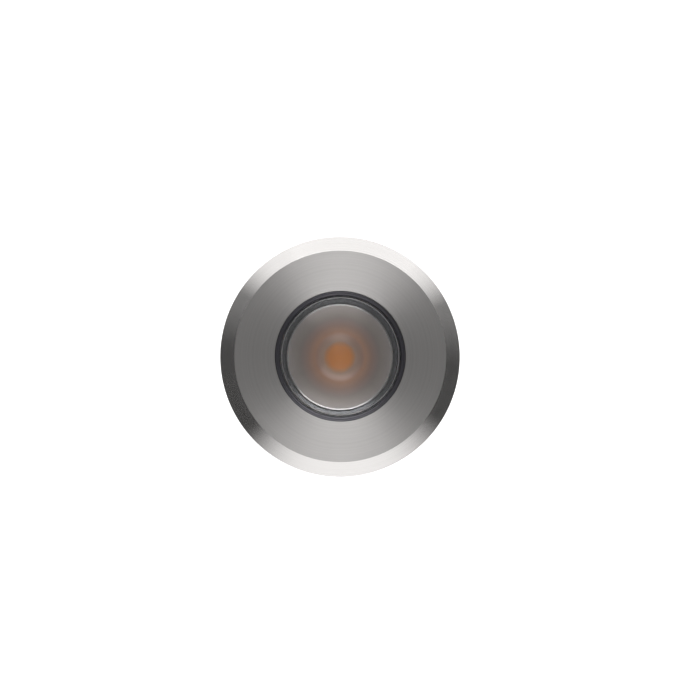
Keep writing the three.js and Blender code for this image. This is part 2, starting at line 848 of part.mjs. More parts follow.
// Terminal block: a sloped housing with two wire ports in its lower front.
function terminalGeometry() {
  const low = driverBottom - terminalSize.z;
  const body = block(terminalSize, 0, terminalY, low);
  const slope = new THREE.BoxGeometry(
    terminalSize.x + 2 * overrun,
    2 * terminalChamferWidth,
    2 * terminalChamferWidth,
  );
  slope.rotateX(quarterTurn / 2);
  slope.translate(0, terminalY + terminalSize.y / 2, low);
  const ports = [-1, 1].map((side) =>
    rod(
      terminalPortRadius,
      low - overrun,
      low + terminalPortDepth,
      smallFacets,
      (side * terminalSize.x) / 4,
      terminalY - terminalSize.y / 2 + terminalPortRadius + partSpacing,
    ),
  );
  return cut(body, [slope, ...ports]);
}

// End cap: a plate as wide as the barrel, with a grooved spigot that goes up into it.
function capGeometry() {
  const spigot = bayRadius - capSpigotGap;
  const grooveFloor = ringGrooveFloor(bayRadius, capRingSection);
  const grooveMiddle = (spigotTop + barrelBottom) / 2;
  const grooveHalf = (capRingSection + grooveSlack) / 2;
  const bore = glandShankRadius + boltGap;
  const turned = revolve([
    [bore, spigotTop],
    [bore, capBottom],
    [barrelRadius - capChamferWidth, capBottom],
    [barrelRadius, capBottom + capChamferWidth],
    [barrelRadius, barrelBottom],
    [spigot, barrelBottom],
    [spigot, grooveMiddle - grooveHalf],
    [grooveFloor, grooveMiddle - grooveHalf],
    [grooveFloor, grooveMiddle + grooveHalf],
    [spigot, grooveMiddle + grooveHalf],
    [spigot, spigotTop],
  ]);
  const holes = capScrewAngles.map((degrees) => {
    const [x, y] = polar(capScrewCircle, degrees);
    const radius = capScrew.shankRadius + boltGap;
    return rod(radius, capBottom - overrun, barrelBottom + overrun, smallFacets, x, y);
  });
  return cut(turned, holes);
}

function capSealRingGeometry() {
  return ringSeal(bayRadius, capRingSection, (spigotTop + barrelBottom) / 2);
}

function capScrewGeometry(degrees) {
  const [x, y] = polar(capScrewCircle, degrees);
  const screw = panScrew(capScrew, capThickness + capScrew.biteDepth);
  return screw.rotateX(Math.PI).translate(x, y, capBottom);
}

function glandWasherGeometry() {
  const inner = glandShankRadius + boltGap;
  const outer = inner + glandWasherWidth;
  return revolve(
    [
      [inner, glandHexTop],
      [outer, glandHexTop],
      [outer, capBottom],
      [inner, capBottom],
    ],
    midFacets,
  );
}

// Gland body: a shank up through the cap, a hexagon, and a threaded end slit into claws.
function glandBodyGeometry() {
  const hex = hexBar(glandFlats, glandHexBottom, glandHexTop);
  const shankTop = glandHexTop + glandShankLength;
  const stem = revolve(
    [
      [0, glandClawEnd],
      [glandNutThreadRadius - hexChamferWidth / 2, glandClawEnd],
      [glandNutThreadRadius, glandClawEnd + hexChamferWidth / 2],
      [glandNutThreadRadius, glandHexBottom + overrun],
      [glandShankRadius, glandHexTop - overrun],
      [glandShankRadius, shankTop - hexChamferWidth / 2],
      [glandShankRadius - hexChamferWidth / 2, shankTop],
      [0, shankTop],
    ],
    midFacets,
  );
  const through = rod(glandBoreRadius, glandClawEnd - overrun, shankTop + overrun, midFacets);
  const seat = rod(
    glandNutThreadRadius - glandClawWall,
    glandClawEnd - overrun,
    glandHexBottom - glandSealStart,
    midFacets,
  );
  const slotSize = {
    x: glandNutThreadRadius + overrun,
    y: glandSlotWidth,
    z: glandClawLength + overrun,
  };
  const slots = Array.from({ length: glandSlots }, (_, i) =>
    block(slotSize, slotSize.x / 2, 0, glandClawEnd - overrun).rotateZ(
      radians((360 * (i + 0.5)) / glandSlots),
    ),
  );
  return cut(join(hex, [stem]), [through, seat, ...slots]);
}

function glandSealGeometry() {
  const outer = glandNutThreadRadius - glandClawWall - fitGap;
  const high = glandHexBottom - glandSealStart;
  const low = glandClawEnd - glandSealReach;
  const waist = (outer - glandSealBoreRadius) / 4;
  return revolve(
    [
      [glandSealBoreRadius, low],
      [outer - waist, low],
      [outer, glandClawEnd],
      [outer, high],
      [glandSealBoreRadius, high],
    ],
    midFacets,
  );
}

// Gland nut: a hexagon that runs into a dome with a round mouth for the cable.
function glandNutGeometry() {
  const corner = hexCorner(glandFlats);
  const thread = glandNutThreadRadius + threadGap;
  const domeTop = nutBottom + glandNutDome;
  const drop = hexChamferWidth * Math.tan(radians(hexChamferAngle));
  const lip = glandNutMouthRadius + glandNutWall;
  const envelope = revolve(
    [
      [0, nutBottom],
      [lip, nutBottom],
      [(lip + corner) / 2, nutBottom + glandNutDome / 4],
      [corner - hexChamferWidth, nutBottom + (glandNutDome * 2) / 3],
      [corner, domeTop],
      [corner, nutTop - drop],
      [corner - hexChamferWidth, nutTop],
      [0, nutTop],
    ],
    midFacets,
  );
  const bar = rod(corner, nutBottom, nutTop, hexSides);
  const floor = Math.min(nutBottom + glandNutWall, glandClawEnd - glandSealReach - fitGap);
  const inside = revolve(
    [
      [0, floor],
      [glandNutMouthRadius, floor],
      [thread, glandClawEnd - fitGap],
      [thread, nutTop + overrun],
      [0, nutTop + overrun],
    ],
    midFacets,
  );
  const mouth = rod(glandNutMouthRadius, nutBottom - overrun, floor + overrun, midFacets);
  return cut(intersect(bar, envelope), [inside, mouth]);
}

add('bezel', 'steel', bezelGeometry());
add('slip_washer', 'washer', slipWasherGeometry());
add('lens_seal', 'rubber', lensSealGeometry());
add('cover_glass', 'glass', coverGlassGeometry());
add('optic', 'optic', opticGeometry());
add('optic_holder', 'holder', holderGeometry());
add('led_dome', 'phosphor', ledDomeGeometry());
add('led_package', 'ceramic', ledPackageGeometry());
add('led_board', 'starBoard', starBoardGeometry());
add('thermal_pad', 'pad', thermalPadGeometry());
boardScrewAngles.forEach((degrees, i) => {
  const [x, y] = polar(boardScrewCircle, degrees);
  const length = boardThickness + thermalPadThickness + boardScrew.biteDepth;
  const screw = panScrew(boardScrew, length).translate(x, y, boardTop);
  add(`board_screw_${i + 1}`, 'screw', screw);
});
add('led_lead_positive', 'redLead', leadGeometry(leadAngles[0]));
add('led_lead_negative', 'blackLead', leadGeometry(leadAngles[1]));
add('barrel', 'barrel', barrelGeometry());
add('neck_seal_ring', 'rubber', neckSealRingGeometry());
springAngles.forEach((degrees, i) => {
  add(`leaf_spring_${i + 1}`, 'spring', springGeometry(degrees));
  add(`spring_screw_${i + 1}`, 'screw', springScrewGeometry(degrees));
});
spacerAngles.forEach((degrees, i) => {
  const [x, y] = polar(spacerCircle, degrees);
  const length = driverBoardThickness + spacerHeight + driverScrew.biteDepth;
  const screw = panScrew(driverScrew, length).rotateX(Math.PI);
  add(`driver_spacer_${i + 1}`, 'nickel', spacerGeometry(degrees));
  add(`driver_screw_${i + 1}`, 'screw', screw.translate(x, y, driverBottom));
});
add('driver_board', 'circuit', driverBoardGeometry());
add(
  'driver_rectifier',
  'component',
  block(rectifierSize, 0, -rectifierDrop, driverBottom - rectifierSize.z),
);
add('driver_coil', 'component', coilGeometry());
add('driver_capacitor', 'can', capacitorGeometry());
add('terminal_block', 'terminal', terminalGeometry());
add('end_cap', 'barrel', capGeometry());
add('cap_seal_ring', 'rubber', capSealRingGeometry());
capScrewAngles.forEach((degrees, i) => {
  add(`cap_screw_${i + 1}`, 'screw', capScrewGeometry(degrees));
});
add('gland_washer', 'rubber', glandWasherGeometry());
add('gland_body', 'nickel', glandBodyGeometry());
add('gland_seal', 'rubber', glandSealGeometry());
add('gland_nut', 'nickel', glandNutGeometry());

export default group;
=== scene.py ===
"""In-ground marker light: the looks of every piece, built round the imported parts.

Metres, +Z up along the light's axis, with the origin in the plane of the ring's underside.
A turned piece takes its outline from the section of its CAD solid, so it fits where that fits.
The eye sees a white room. The steel mirrors a bright wall and a softbox in front, the same
behind, and a dark arch between them, which gives it its bright and dark sectors.
"""

import functools
from collections import namedtuple
from math import acos, ceil, cos, dist, hypot, pi, radians, sin, sqrt, tan

import bmesh
import bpy
import numpy as np
from mathutils import Matrix, Vector


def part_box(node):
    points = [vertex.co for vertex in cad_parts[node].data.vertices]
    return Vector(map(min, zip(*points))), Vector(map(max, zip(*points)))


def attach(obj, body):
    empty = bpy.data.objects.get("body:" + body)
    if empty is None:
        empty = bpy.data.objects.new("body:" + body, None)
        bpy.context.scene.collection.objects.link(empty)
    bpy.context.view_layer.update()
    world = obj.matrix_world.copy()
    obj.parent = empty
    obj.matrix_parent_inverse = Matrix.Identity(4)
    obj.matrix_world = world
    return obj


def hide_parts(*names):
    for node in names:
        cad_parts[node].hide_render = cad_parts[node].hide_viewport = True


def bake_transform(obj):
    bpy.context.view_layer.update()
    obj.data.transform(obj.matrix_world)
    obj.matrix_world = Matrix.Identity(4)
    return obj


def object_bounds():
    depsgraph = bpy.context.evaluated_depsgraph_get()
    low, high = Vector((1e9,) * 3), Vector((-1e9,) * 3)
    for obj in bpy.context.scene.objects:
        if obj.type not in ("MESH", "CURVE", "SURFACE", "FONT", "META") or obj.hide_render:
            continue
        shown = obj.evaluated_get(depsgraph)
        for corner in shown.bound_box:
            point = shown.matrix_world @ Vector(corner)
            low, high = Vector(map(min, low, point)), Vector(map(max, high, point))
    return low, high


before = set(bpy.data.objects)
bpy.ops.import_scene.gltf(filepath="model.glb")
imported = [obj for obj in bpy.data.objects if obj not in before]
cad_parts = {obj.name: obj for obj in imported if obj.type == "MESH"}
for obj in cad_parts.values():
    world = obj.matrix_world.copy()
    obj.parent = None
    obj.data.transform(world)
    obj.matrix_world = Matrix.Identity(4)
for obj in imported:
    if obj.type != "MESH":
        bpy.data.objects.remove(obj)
cad_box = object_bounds()

MM = 0.001
TINY = 1e-6
TURN = 2 * pi
WHITE = (1, 1, 1, 1)

# The photograph's side, and the ring's width and how far it lies below the middle, in pixels
PHOTO_SIDE_PX = 680
RING_DIAMETER_PX = 239.6
RING_DROP_PX = 16.8

# Camera: how far it leans from the light's axis, and to which side
CAMERA_DISTANCE = 700 * MM
CAMERA_LEAN_DEGREES = 2.8
CAMERA_LEAN_AZIMUTH = 243
SENSOR_WIDTH = 36.0

# Floor, with its glow to the eye and the share of that in what mirrors it
FLOOR_SIDE = 4.0
FLOOR_GAP = 0.2 * MM
FLOOR_COLOR = (0.75, 0.75, 0.75)
FLOOR_GLOW = 0.85
FLOOR_SHINE = 0.5

# Walls of the room: azimuth, the cosines toward it between which the light fades in, and tone
FRONT_WALL = (273.5, (0.475, 0.97), 1.78)
BACK_WALL = (86.5, (0.405, 0.815), 1.75)

# Faint glow before the back wall: the cosines between which it grows, and its tones there
BACK_GLOW = ((0.0, 0.45), (0.02, 0.33))

# Tones of the dark arch, at the horizon and overhead
ARCH_TONES = (0.02, 0.34)

# Softboxes, in degrees and metres, and how bright they look
FRONT_SOFTBOX = dict(azimuth=276, elevation=63, distance=0.8, width=0.48, height=0.2, radiance=2.35)
BACK_SOFTBOX = dict(azimuth=82, elevation=37, distance=0.8, width=0.9, height=0.5, radiance=1.9)

# Steps round a full turn
WIDE_STEPS = 240
MID_STEPS = 144
SMALL_STEPS = 48
DRILL_STEPS = 24
LEAD_STEPS = 16
RING_SEAL_STEPS = 18

# Steps of arcs and of rounded corners
ARC_STEPS = 8
LONG_ARC_STEPS = 12
SHORT_ARC_STEPS = 6
CORNER_STEPS = 3
FEW_CORNER_STEPS = 2
GLAND_NUT_STEPS = 4

# Edges of turned pieces and of clear ones: how round, the most of a side that this takes, where
# a point beside it keeps the shading even, and from which angle an edge stays sharp
EDGE_RADIUS = 0.1 * MM
CLEAR_EDGE_RADIUS = 0.03 * MM
LONGEST_SHARE = 0.45
SUPPORT_SHARE = 0.25
SHARP_DEGREES = 32
SPRING_SHARP_DEGREES = 50

# Edges broken on boards, blocks and cans, and from which angle
BOARD_EDGE = 0.08 * MM
BLOCK_EDGE = 0.15 * MM
CAN_EDGE = 0.2 * MM
BEVEL_SEGMENTS = 2
BEVEL_FROM_DEGREES = 40

# Turned finish of the ring's face, and the bevel round it
GROOVE_PITCH = 0.1985 * MM
GROOVE_DEPTH = 0.0075 * MM
GROOVE_WAVE_SHARES = (0.0, 0.5, 1.0, 0.5)
BEVEL_WIDTH = 2.7 * MM
RADIUS_DIGITS = 7

# Threads of the neck and the skirt, and of the gland
THREAD_PITCH = 1.5 * MM
NECK_THREAD_DEPTH = 0.55 * MM
GLAND_THREAD_DEPTH = 0.45 * MM
THREAD_STEP = 0.125 * MM
THREAD_CREST_SHARE = 0.15

# Rubber seal. The shares across its slope say where the ridge and the groove start, are at their
# full, no longer are, and end
SEAL_BEAD_RADIUS = 0.22 * MM
SEAL_SLOPE = 0.42 * MM
SEAL_RIDGE = 0.05 * MM
SEAL_RIDGE_SHARES = (0.16, 0.2, 0.42, 0.47)
SEAL_GROOVE = 0.1 * MM
SEAL_GROOVE_SHARES = (0.58, 0.62, 0.68, 0.72)
SEAL_SOFTNESS = 0.04 * MM

# Glass
GLASS_FLANGE = 2.41 * MM
GLASS_STEP = 0.2 * MM
GLASS_STEP_DEPTH = 0.7 * MM
GLASS_CHAMFER = 0.18 * MM
GLASS_FACE_NORMAL = 0.95

# Lens
LENS_LAND = 0.03 * MM
LENS_BEAD_WIDTH = 0.2 * MM
LENS_BEAD_DEPTH = 0.11 * MM
LENS_DISH = 0.9 * MM
LENS_WELL_RADII = (3.1 * MM, 4.7 * MM)
LENS_WELL_DEPTH = 0.4 * MM
LENS_FACE_STEPS = 60

# Lens holder
HOLDER_AZIMUTH = 60
HOLDER_LEAD_IN_WIDTH = 0.75 * MM
HOLDER_LEAD_IN_DEPTH = 0.3 * MM
HOLDER_WINDOW_AZIMUTHS = (0, 120, 240)
HOLDER_WINDOW_WIDTH = 3.4 * MM
HOLDER_WINDOW_LOW = 2.3 * MM
HOLDER_WINDOW_HIGH = 4.3 * MM

# Screws: the shank's radius, the head's radius and height, and a washer's thickness under it
Screw = namedtuple("Screw", "shank head height washer")
BOARD_SCREW = Screw(1.2 * MM, 2.1 * MM, 1.4 * MM, 0)
DRIVER_SCREW = Screw(0.9 * MM, 1.7 * MM, 1.1 * MM, 0)
CAP_SCREW = Screw(1.0 * MM, 1.6 * MM, 1.1 * MM, 0)
SPRING_SCREW = Screw(0.95 * MM, 1.6 * MM, 0.9 * MM, 0.5 * MM)
SPRING_SCREW_LENGTH = 2.8 * MM
BOARD_SCREW_AZIMUTHS = (0, 180)
CAP_SCREW_AZIMUTHS = (30, 150, 270)

# Their heads: the rim's height, the flat on top, the recess's width, length and depth, the washer
SCREW_RIM_SHARE = 0.4
SCREW_FLAT_SHARE = 0.55
RECESS_SHARES = (0.24, 1.15, 0.7)
WASHER_SHARE = 1.12

# Room round a screw in its hole, and beyond its ends
HOLE_GAP = 0.1 * MM
HOLE_END_GAP = 0.4 * MM

# LED leads
LEAD_RADIUS = 0.65 * MM
LEAD_BEND = 1.2 * MM
LEAD_HOLE_GAP = 0.5 * MM
LEAD_AZIMUTHS = (60, 240)

# Barrel
SHOULDER_CHAMFER = 0.6 * MM
NECK_RING_THICKNESS = 1.3 * MM
CAP_RING_THICKNESS = 1.1 * MM

# Leaf springs, and the pockets behind them
SPRING_AZIMUTHS = (90, 210, 330)
SPRING_WIDTH = 6 * MM
SPRING_TIP_WIDTH = 4.2 * MM
SPRING_THICKNESS = 0.5 * MM
SPRING_EDGE_SHARE = 0.6
SPRING_FOOT = 4.6 * MM
SPRING_SCREW_DROP = 2.2 * MM
SPRING_RISE = 17.5 * MM
SPRING_REACH = 4.25 * MM
SPRING_TIP_RISE = 3 * MM
SPRING_TIP_CURL = 0.9 * MM
SPRING_BEND_RADIUS = 1.2 * MM
SPRING_STEP = 0.4 * MM
SPRING_CORNER = 0.9 * MM
SPRING_HOLE_RADIUS = 1.15 * MM
SPRING_HOLE_DEPTH = 2 * MM
POCKET_DEPTH = 1.2 * MM
POCKET_SIDE_GAP = 0.6 * MM
POCKET_END_GAP = 0.8 * MM
POCKET_CORNER = 1.2 * MM

# Cable gland
GLAND_THREAD_RADIUS = 6 * MM
GLAND_CLAW_LENGTH = 4 * MM
GLAND_SLOT_WIDTH = 0.8 * MM
GLAND_SLOT_AZIMUTHS = (30, 90, 150)
GLAND_NUT_SOFTNESS = 0.5 * MM
HEX_SIDES = 6
HEX_CORNER_AZIMUTH = 30
HEX_CHAMFER = 0.8 * MM
HEX_CHAMFER_DEGREES = 30

# An azimuth where a section meets no hole or slot, and how far a cutter passes what it opens
PLAIN_AZIMUTH = 120
OVERRUN = 1 * MM

# Looks of turned metal. The highlights lie across the tool marks, a quarter turn from them
STEEL = dict(color=(0.5, 0.487, 0.479), roughness=0.46, anisotropy=0.85)
ANODISED = dict(color=(0.035, 0.036, 0.04), roughness=0.42, anisotropy=0.3, metallic=0.55)
HIGHLIGHT_TURN = 0.25

# Tool marks: their sizes from fine to broad, the size of patches, relief, and contrast
MARK_SIZES = (0.09 * MM, 0.4 * MM, 1.3 * MM)
PATCH_SIZE = 4 * MM
MARK_DETAIL = 3
MARK_RELIEF = 0.004 * MM
MARK_STRENGTH = 0.5
CONTRAST = 0.15

# The ring's bevel has this share of its face's roughness
BEVEL_POLISH = 0.36
POLISH_FADE = 0.03 * MM

# Grain of plain looks, and the size and contrast of the clouds in their colour
GRAIN_SIZE = 0.25 * MM
GRAIN_RELIEF = 0.01 * MM
GRAIN_STRENGTH = 0.3
GRAIN_DETAIL = 4
CLOUD_SIZE = 3 * MM
CLOUD_CONTRAST = 0.12

# Plated, moulded and painted looks: colour and roughness
PLAIN_LOOKS = {
    "nickel_plate": ((0.56, 0.53, 0.48), 0.24),
    "screw_steel": ((0.5, 0.49, 0.48), 0.32),
    "rubber": ((0.022, 0.021, 0.025), 0.34),
    "holder_plastic": ((0.032, 0.033, 0.036), 0.22),
    "slip_washer": ((0.78, 0.77, 0.73), 0.55),
    "phosphor": ((0.72, 0.3, 0.03), 0.25),
    "ceramic": ((0.8, 0.78, 0.73), 0.5),
    "star_board": ((0.74, 0.74, 0.72), 0.45),
    "thermal_pad": ((0.28, 0.36, 0.44), 0.8),
    "lead_red": ((0.42, 0.03, 0.02), 0.45),
    "lead_black": ((0.02, 0.02, 0.02), 0.45),
    "circuit_board": ((0.02, 0.12, 0.05), 0.4),
    "component_black": ((0.02, 0.02, 0.022), 0.45),
    "capacitor_sleeve": ((0.03, 0.05, 0.17), 0.35),
    "terminal_plastic": ((0.05, 0.25, 0.08), 0.4),
}

# What differs in some of them: grain, and sockets of the surface shader
PLAIN_EXTRAS = {
    "nickel_plate": dict(size=0.4 * MM, relief=0.004 * MM, Metallic=1),
    "screw_steel": dict(size=0.2 * MM, relief=0.004 * MM, Metallic=1),
    # The rubber and the holder have a faint blue tint painted onto their reflections
    "rubber": dict(size=0.12 * MM, IOR=1.8, Specular_Tint=(0.92, 0.91, 1, 1)),
    "holder_plastic": dict(IOR=2.0, Specular_Tint=(0.94, 0.96, 1, 1)),
}

# Rolled spring strip: its mean, darkest and lightest colour, and the faint lines along it
STRIP_COLOR = (0.48, 0.47, 0.455)
STRIP_COLORS = ((0.44, 0.43, 0.415), (0.53, 0.52, 0.5))
STRIP_CLOUD_SIZE = 5 * MM
STRIP_LINES = dict(
    size=0.12 * MM, roughness=(0.28, 0.42), relief=0.006 * MM, strength=0.6, stretch=(1, 1, 0.03)
)

# Clear glass, its ground edge, and the floor's grain
GLASS = dict(color=(0.98, 0.98, 0.985), Transmission_Weight=1, IOR=1.5)
GLASS_HAZE = dict(size=1.5 * MM, roughness=(0, 0.02))
# The ground edge is painted dark grey, a painted shade for the dark seal seen through it
GROUND_GLASS = dict(color=(0.36, 0.37, 0.385), Transmission_Weight=0.75, IOR=1.5)
GROUND_GRAIN = dict(size=0.1 * MM, roughness=(0.35, 0.5), relief=0.004 * MM, detail=4)
FLOOR_GRAIN = dict(size=20 * MM, roughness=(0.85, 0.95))

# Frosted lens: its grain, the size and reach of its uneven rings, and its polished bead
FROSTED = dict(color=(0.3, 0.28, 0.26), IOR=1.9, Anisotropic=0.9)
FROSTED_GRAIN = dict(
    size=0.15 * MM, roughness=(0.38, 0.48), relief=0.008 * MM, strength=0.4, detail=4
)
LENS_UNEVEN_SIZE = 1.2 * MM
LENS_UNEVEN_SHARE = 0.015
LENS_BEAD_SHARES = (0.968, 0.976)
LENS_BEAD_POLISH = 0.45

# The lens at shares of its radius: its colour, and how much it mirrors. The LED's orange, as seen
# through the lens, is painted into the colour of its middle, with a painted faint orange halo round
# it, and further out it is silvery
LENS_COLORS_WITH_PAINTED_LED = (
    (0.0, (0.86, 0.27, 0.015)),
    (0.2, (0.83, 0.28, 0.035)),
    (0.26, (0.66, 0.28, 0.1)),
    (0.31, (0.51, 0.325, 0.23)),
    (0.39, (0.53, 0.35, 0.275)),
    (0.48, (0.52, 0.28, 0.18)),
    (0.6, (0.41, 0.265, 0.205)),
    (0.74, (0.385, 0.325, 0.295)),
    (0.968, (0.57, 0.53, 0.505)),
    (0.976, (0.46, 0.455, 0.45)),
)
LENS_MIRROR = (
    (0.0, 0), (0.28, 0.03), (0.36, 0.3), (0.44, 0.3),
    (0.52, 0.2), (0.85, 0.8), (0.968, 0.85), (0.976, 0.75),
)


# Places

def heading(azimuth):
    """The level direction at an azimuth in degrees."""
    angle = radians(azimuth)
    return Vector((cos(angle), sin(angle), 0))


def spot(azimuth, radius, level=0):
    """The point at an azimuth, a radius and a level."""
    return heading(azimuth) * radius + Vector((0, 0, level))


def turn(azimuth):
    return Matrix.Rotation(radians(azimuth), 4, "Z")


def outward(azimuth, radius, level):
    """Stands a piece on the barrel's side: its Z points out from the axis and its Y up."""
    out, side = heading(azimuth), heading(azimuth + 90)
    return Matrix((
        (side.x, 0, out.x, out.x * radius),
        (side.y, 0, out.y, out.y * radius),
        (0, 1, 0, level),
        (0, 0, 0, 1),
    ))


def middle_of(node):
    low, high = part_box(node)
    return (low.x + high.x) / 2, (low.y + high.y) / 2


# Outlines: lists of (radius, height) from axis to axis, or all round a ring's cut face

def section(node, azimuth=0, centre=(0, 0)):
    """A turned CAD node's outline in the half plane at an azimuth."""
    out, side = heading(azimuth), heading(azimuth + 90)
    axis = Vector((*centre, 0))
    cut = bmesh.new()
    cut.from_mesh(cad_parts[node].data)
    bmesh.ops.remove_doubles(cut, verts=cut.verts, dist=TINY)
    for normal, half in ((out, True), (side, False)):
        parts = cut.verts[:] + cut.edges[:] + cut.faces[:]
        found = bmesh.ops.bisect_plane(
            cut, geom=parts, dist=TINY, plane_co=axis, plane_no=normal, clear_inner=half
        )
    near = {}
    for edge in found["geom_cut"]:
        if isinstance(edge, bmesh.types.BMEdge):
            a, b = edge.verts
            near.setdefault(a, []).append(b)
            near.setdefault(b, []).append(a)
    ends = [v for v, others in near.items() if len(others) == 1]
    start = min(ends or near, key=lambda v: v.co.z)
    chain, before, here = [start], None, start
    while True:
        following = [v for v in near[here] if v is not before]
        if not following or following[0] is start:
            break
        before, here = here, following[0]
        chain.append(here)
    outline = [(max((v.co - axis).dot(out), 0.0), v.co.z) for v in chain]
    cut.free()
    return straighten(outline, closed=not ends)


def straighten(outline, closed):
    """The outline without the points on a straight line between their neighbours."""
    kept = []
    count = len(outline)
    for i, point in enumerate(outline):
        if not closed and i in (0, count - 1):
            kept.append(point)
            continue
        before = np.subtract(point, outline[i - 1])
        after = np.subtract(outline[(i + 1) % count], point)
        bend = before[0] * after[1] - before[1] * after[0]
        if abs(bend) > TINY * (np.linalg.norm(before) + np.linalg.norm(after)):
            kept.append(point)
    return kept


def on_axis(outline):
    return outline[0][0] < TINY and outline[-1][0] < TINY


def curve(a, b, c, steps):
    """Points from a to c, on a curve that leans toward b."""
    return [a * (1 - t) ** 2 + b * 2 * t * (1 - t) + c * t**2 for t in np.linspace(0, 1, steps + 1)]


def soften(outline, radius, steps=CORNER_STEPS, closed=None):
    """Rounds each corner of an outline, by less than the radius where its sides are short.

    A point beside each rounding keeps the shading of a long side even.
    """
    closed = not on_axis(outline) if closed is None else closed
    count = len(outline)
    rounded = []
    for i, corner in enumerate(outline):
        if not closed and i in (0, count - 1):
            rounded.append(corner)
            continue
        here = np.array(corner)
        before = np.array(outline[i - 1]) - here
        after = np.array(outline[(i + 1) % count]) - here
        long_before, long_after = np.linalg.norm(before), np.linalg.norm(after)
        cosine = np.clip(before @ after / (long_before * long_after), -1, 1)
        half = acos(cosine) / 2
        reach = min(radius / tan(half), LONGEST_SHARE * min(long_before, long_after))
        first = here + before / long_before * reach
        last = here + after / long_after * reach
        points = curve(first, here, last, steps)
        beside = reach * (1 + SUPPORT_SHARE)
        if beside < LONGEST_SHARE * long_before:
            points.insert(0, here + before / long_before * beside)
        if beside < LONGEST_SHARE * long_after:
            points.append(here + after / long_after * beside)
        rounded += [(float(r), float(z)) for r, z in points]
    return rounded


def each_side(outline):
    """The outline's sides as pairs of points, with the one that closes a ring."""
    following = outline[1:] if on_axis(outline) else outline[1:] + outline[:1]
    return list(zip(outline, following))


def between(a, b, step):
    """The points that cut a side into steps of at most this length."""
    count = max(1, ceil(dist(a, b) / step))
    return [tuple(np.array(a) + np.subtract(b, a) * (k / count)) for k in range(1, count)]


def refine(outline, points):
    """Adds the points that points(a, b) gives to each side of an outline."""
    finer = []
    for a, b in each_side(outline):
        finer += [a, *points(a, b)]
    return finer + ([outline[-1]] if on_axis(outline) else [])


def divide(outline, chosen):
    """Cuts the sides that are chosen into steps that a thread can be shaped with."""
    return refine(outline, lambda a, b: between(a, b, THREAD_STEP) if chosen(a, b) else [])


def groove(outline, height):
    """Cuts fine turned grooves into the level sides at this height."""
    wave = GROOVE_WAVE_SHARES

    def points(a, b):
        level = max(abs(a[1] - height), abs(b[1] - height)) < TINY
        count = int(dist(a, b) / GROOVE_PITCH) * len(wave) if level else 0
        return [
            (a[0] + (b[0] - a[0]) * k / count, a[1] - GROOVE_DEPTH * wave[k % len(wave)])
            for k in range(1, count)
        ]

    return refine(outline, points)


def wall_at(radius):
    """Chooses the upright sides at this radius."""
    return lambda a, b: abs(a[0] - radius) < TINY and abs(b[0] - radius) < TINY


def longest_wall(outline, radius):
    """The levels of the longest upright side at this radius."""
    upright = wall_at(radius)
    walls = [sorted((a[1], b[1])) for a, b in each_side(outline) if upright(a, b)]
    return max(walls, key=lambda wall: wall[1] - wall[0])


def arc(x, y, radius, start, end, steps=ARC_STEPS):
    """Points of a round arc, both ends included, with angles in degrees."""
    angles = [radians(start + (end - start) * k / steps) for k in range(steps + 1)]
    return [(x + radius * cos(a), y + radius * sin(a)) for a in angles]


def rectangle(low_x, high_x, half_height):
    """A rectangle's corners, as high above as below the X axis."""
    return [
        (low_x, -half_height), (high_x, -half_height), (high_x, half_height), (low_x, half_height)
    ]


def round_rectangle(half_width, low, high, corner, steps=ARC_STEPS):
    """The outline of a rectangle with round corners, as far left as right of the Y axis."""
    side, top, bottom = half_width - corner, high - corner, low + corner
    centres = (side, top), (-side, top), (-side, bottom), (side, bottom)
    outline = []
    for quarter, (x, y) in enumerate(centres):
        outline += arc(x, y, corner, 90 * quarter, 90 * quarter + 90, steps)
    return outline


def cross(half_width, half_length):
    """The outline of a plus sign."""
    arm = [(half_length, -half_width), (half_length, half_width), (half_width, half_width)]
    outline = []
    for _ in range(4):
        outline += arm
        arm = [(-y, x) for x, y in arm]
    return outline


# Meshes

def reshape(mesh, change):
    """Changes a mesh by way of bmesh."""
    shape = bmesh.new()
    shape.from_mesh(mesh)
    change(shape)
    shape.to_mesh(mesh)
    shape.free()


def smooth(mesh, sharp=SHARP_DEGREES):
    """Shades a mesh smooth, apart from its edges over an angle."""
    mesh.validate()
    mesh.shade_smooth()
    mesh.set_sharp_from_angle(angle=radians(sharp))


def new_object(name, data):
    made = bpy.data.objects.new(name, data)
    bpy.context.scene.collection.objects.link(made)
    return made


def from_points(name, points, faces):
    mesh = bpy.data.meshes.new(name)
    mesh.from_pydata([tuple(p) for p in points], [], faces)
    reshape(mesh, lambda shape: bmesh.ops.recalc_face_normals(shape, faces=shape.faces))
    smooth(mesh)
    return new_object(name, mesh)


def bands(count, steps, closed=False):
    """Faces between neighbouring rings of points, and from the last ring to the first if closed."""
    faces = []
    for i in range(count if closed else count - 1):
        a, b = i * steps, ((i + 1) % count) * steps
        for j in range(steps):
            k = (j + 1) % steps
            faces.append((a + j, a + k, b + k, b + j))
    return faces


def tube(name, rings):
    """A solid through rings of points, with a face on each end."""
    count, steps = len(rings), len(rings[0])
    ends = [tuple(range(steps)), tuple(range((count - 1) * steps, count * steps))]
    points = [point for ring in rings for point in ring]
    return from_points(name, points, ends + bands(count, steps))


def prism(name, outline, low, high):
    """A straight prism on an outline of (x, y), from one height to another."""
    return tube(name, [[(x, y, z) for x, y in outline] for z in (low, high)])


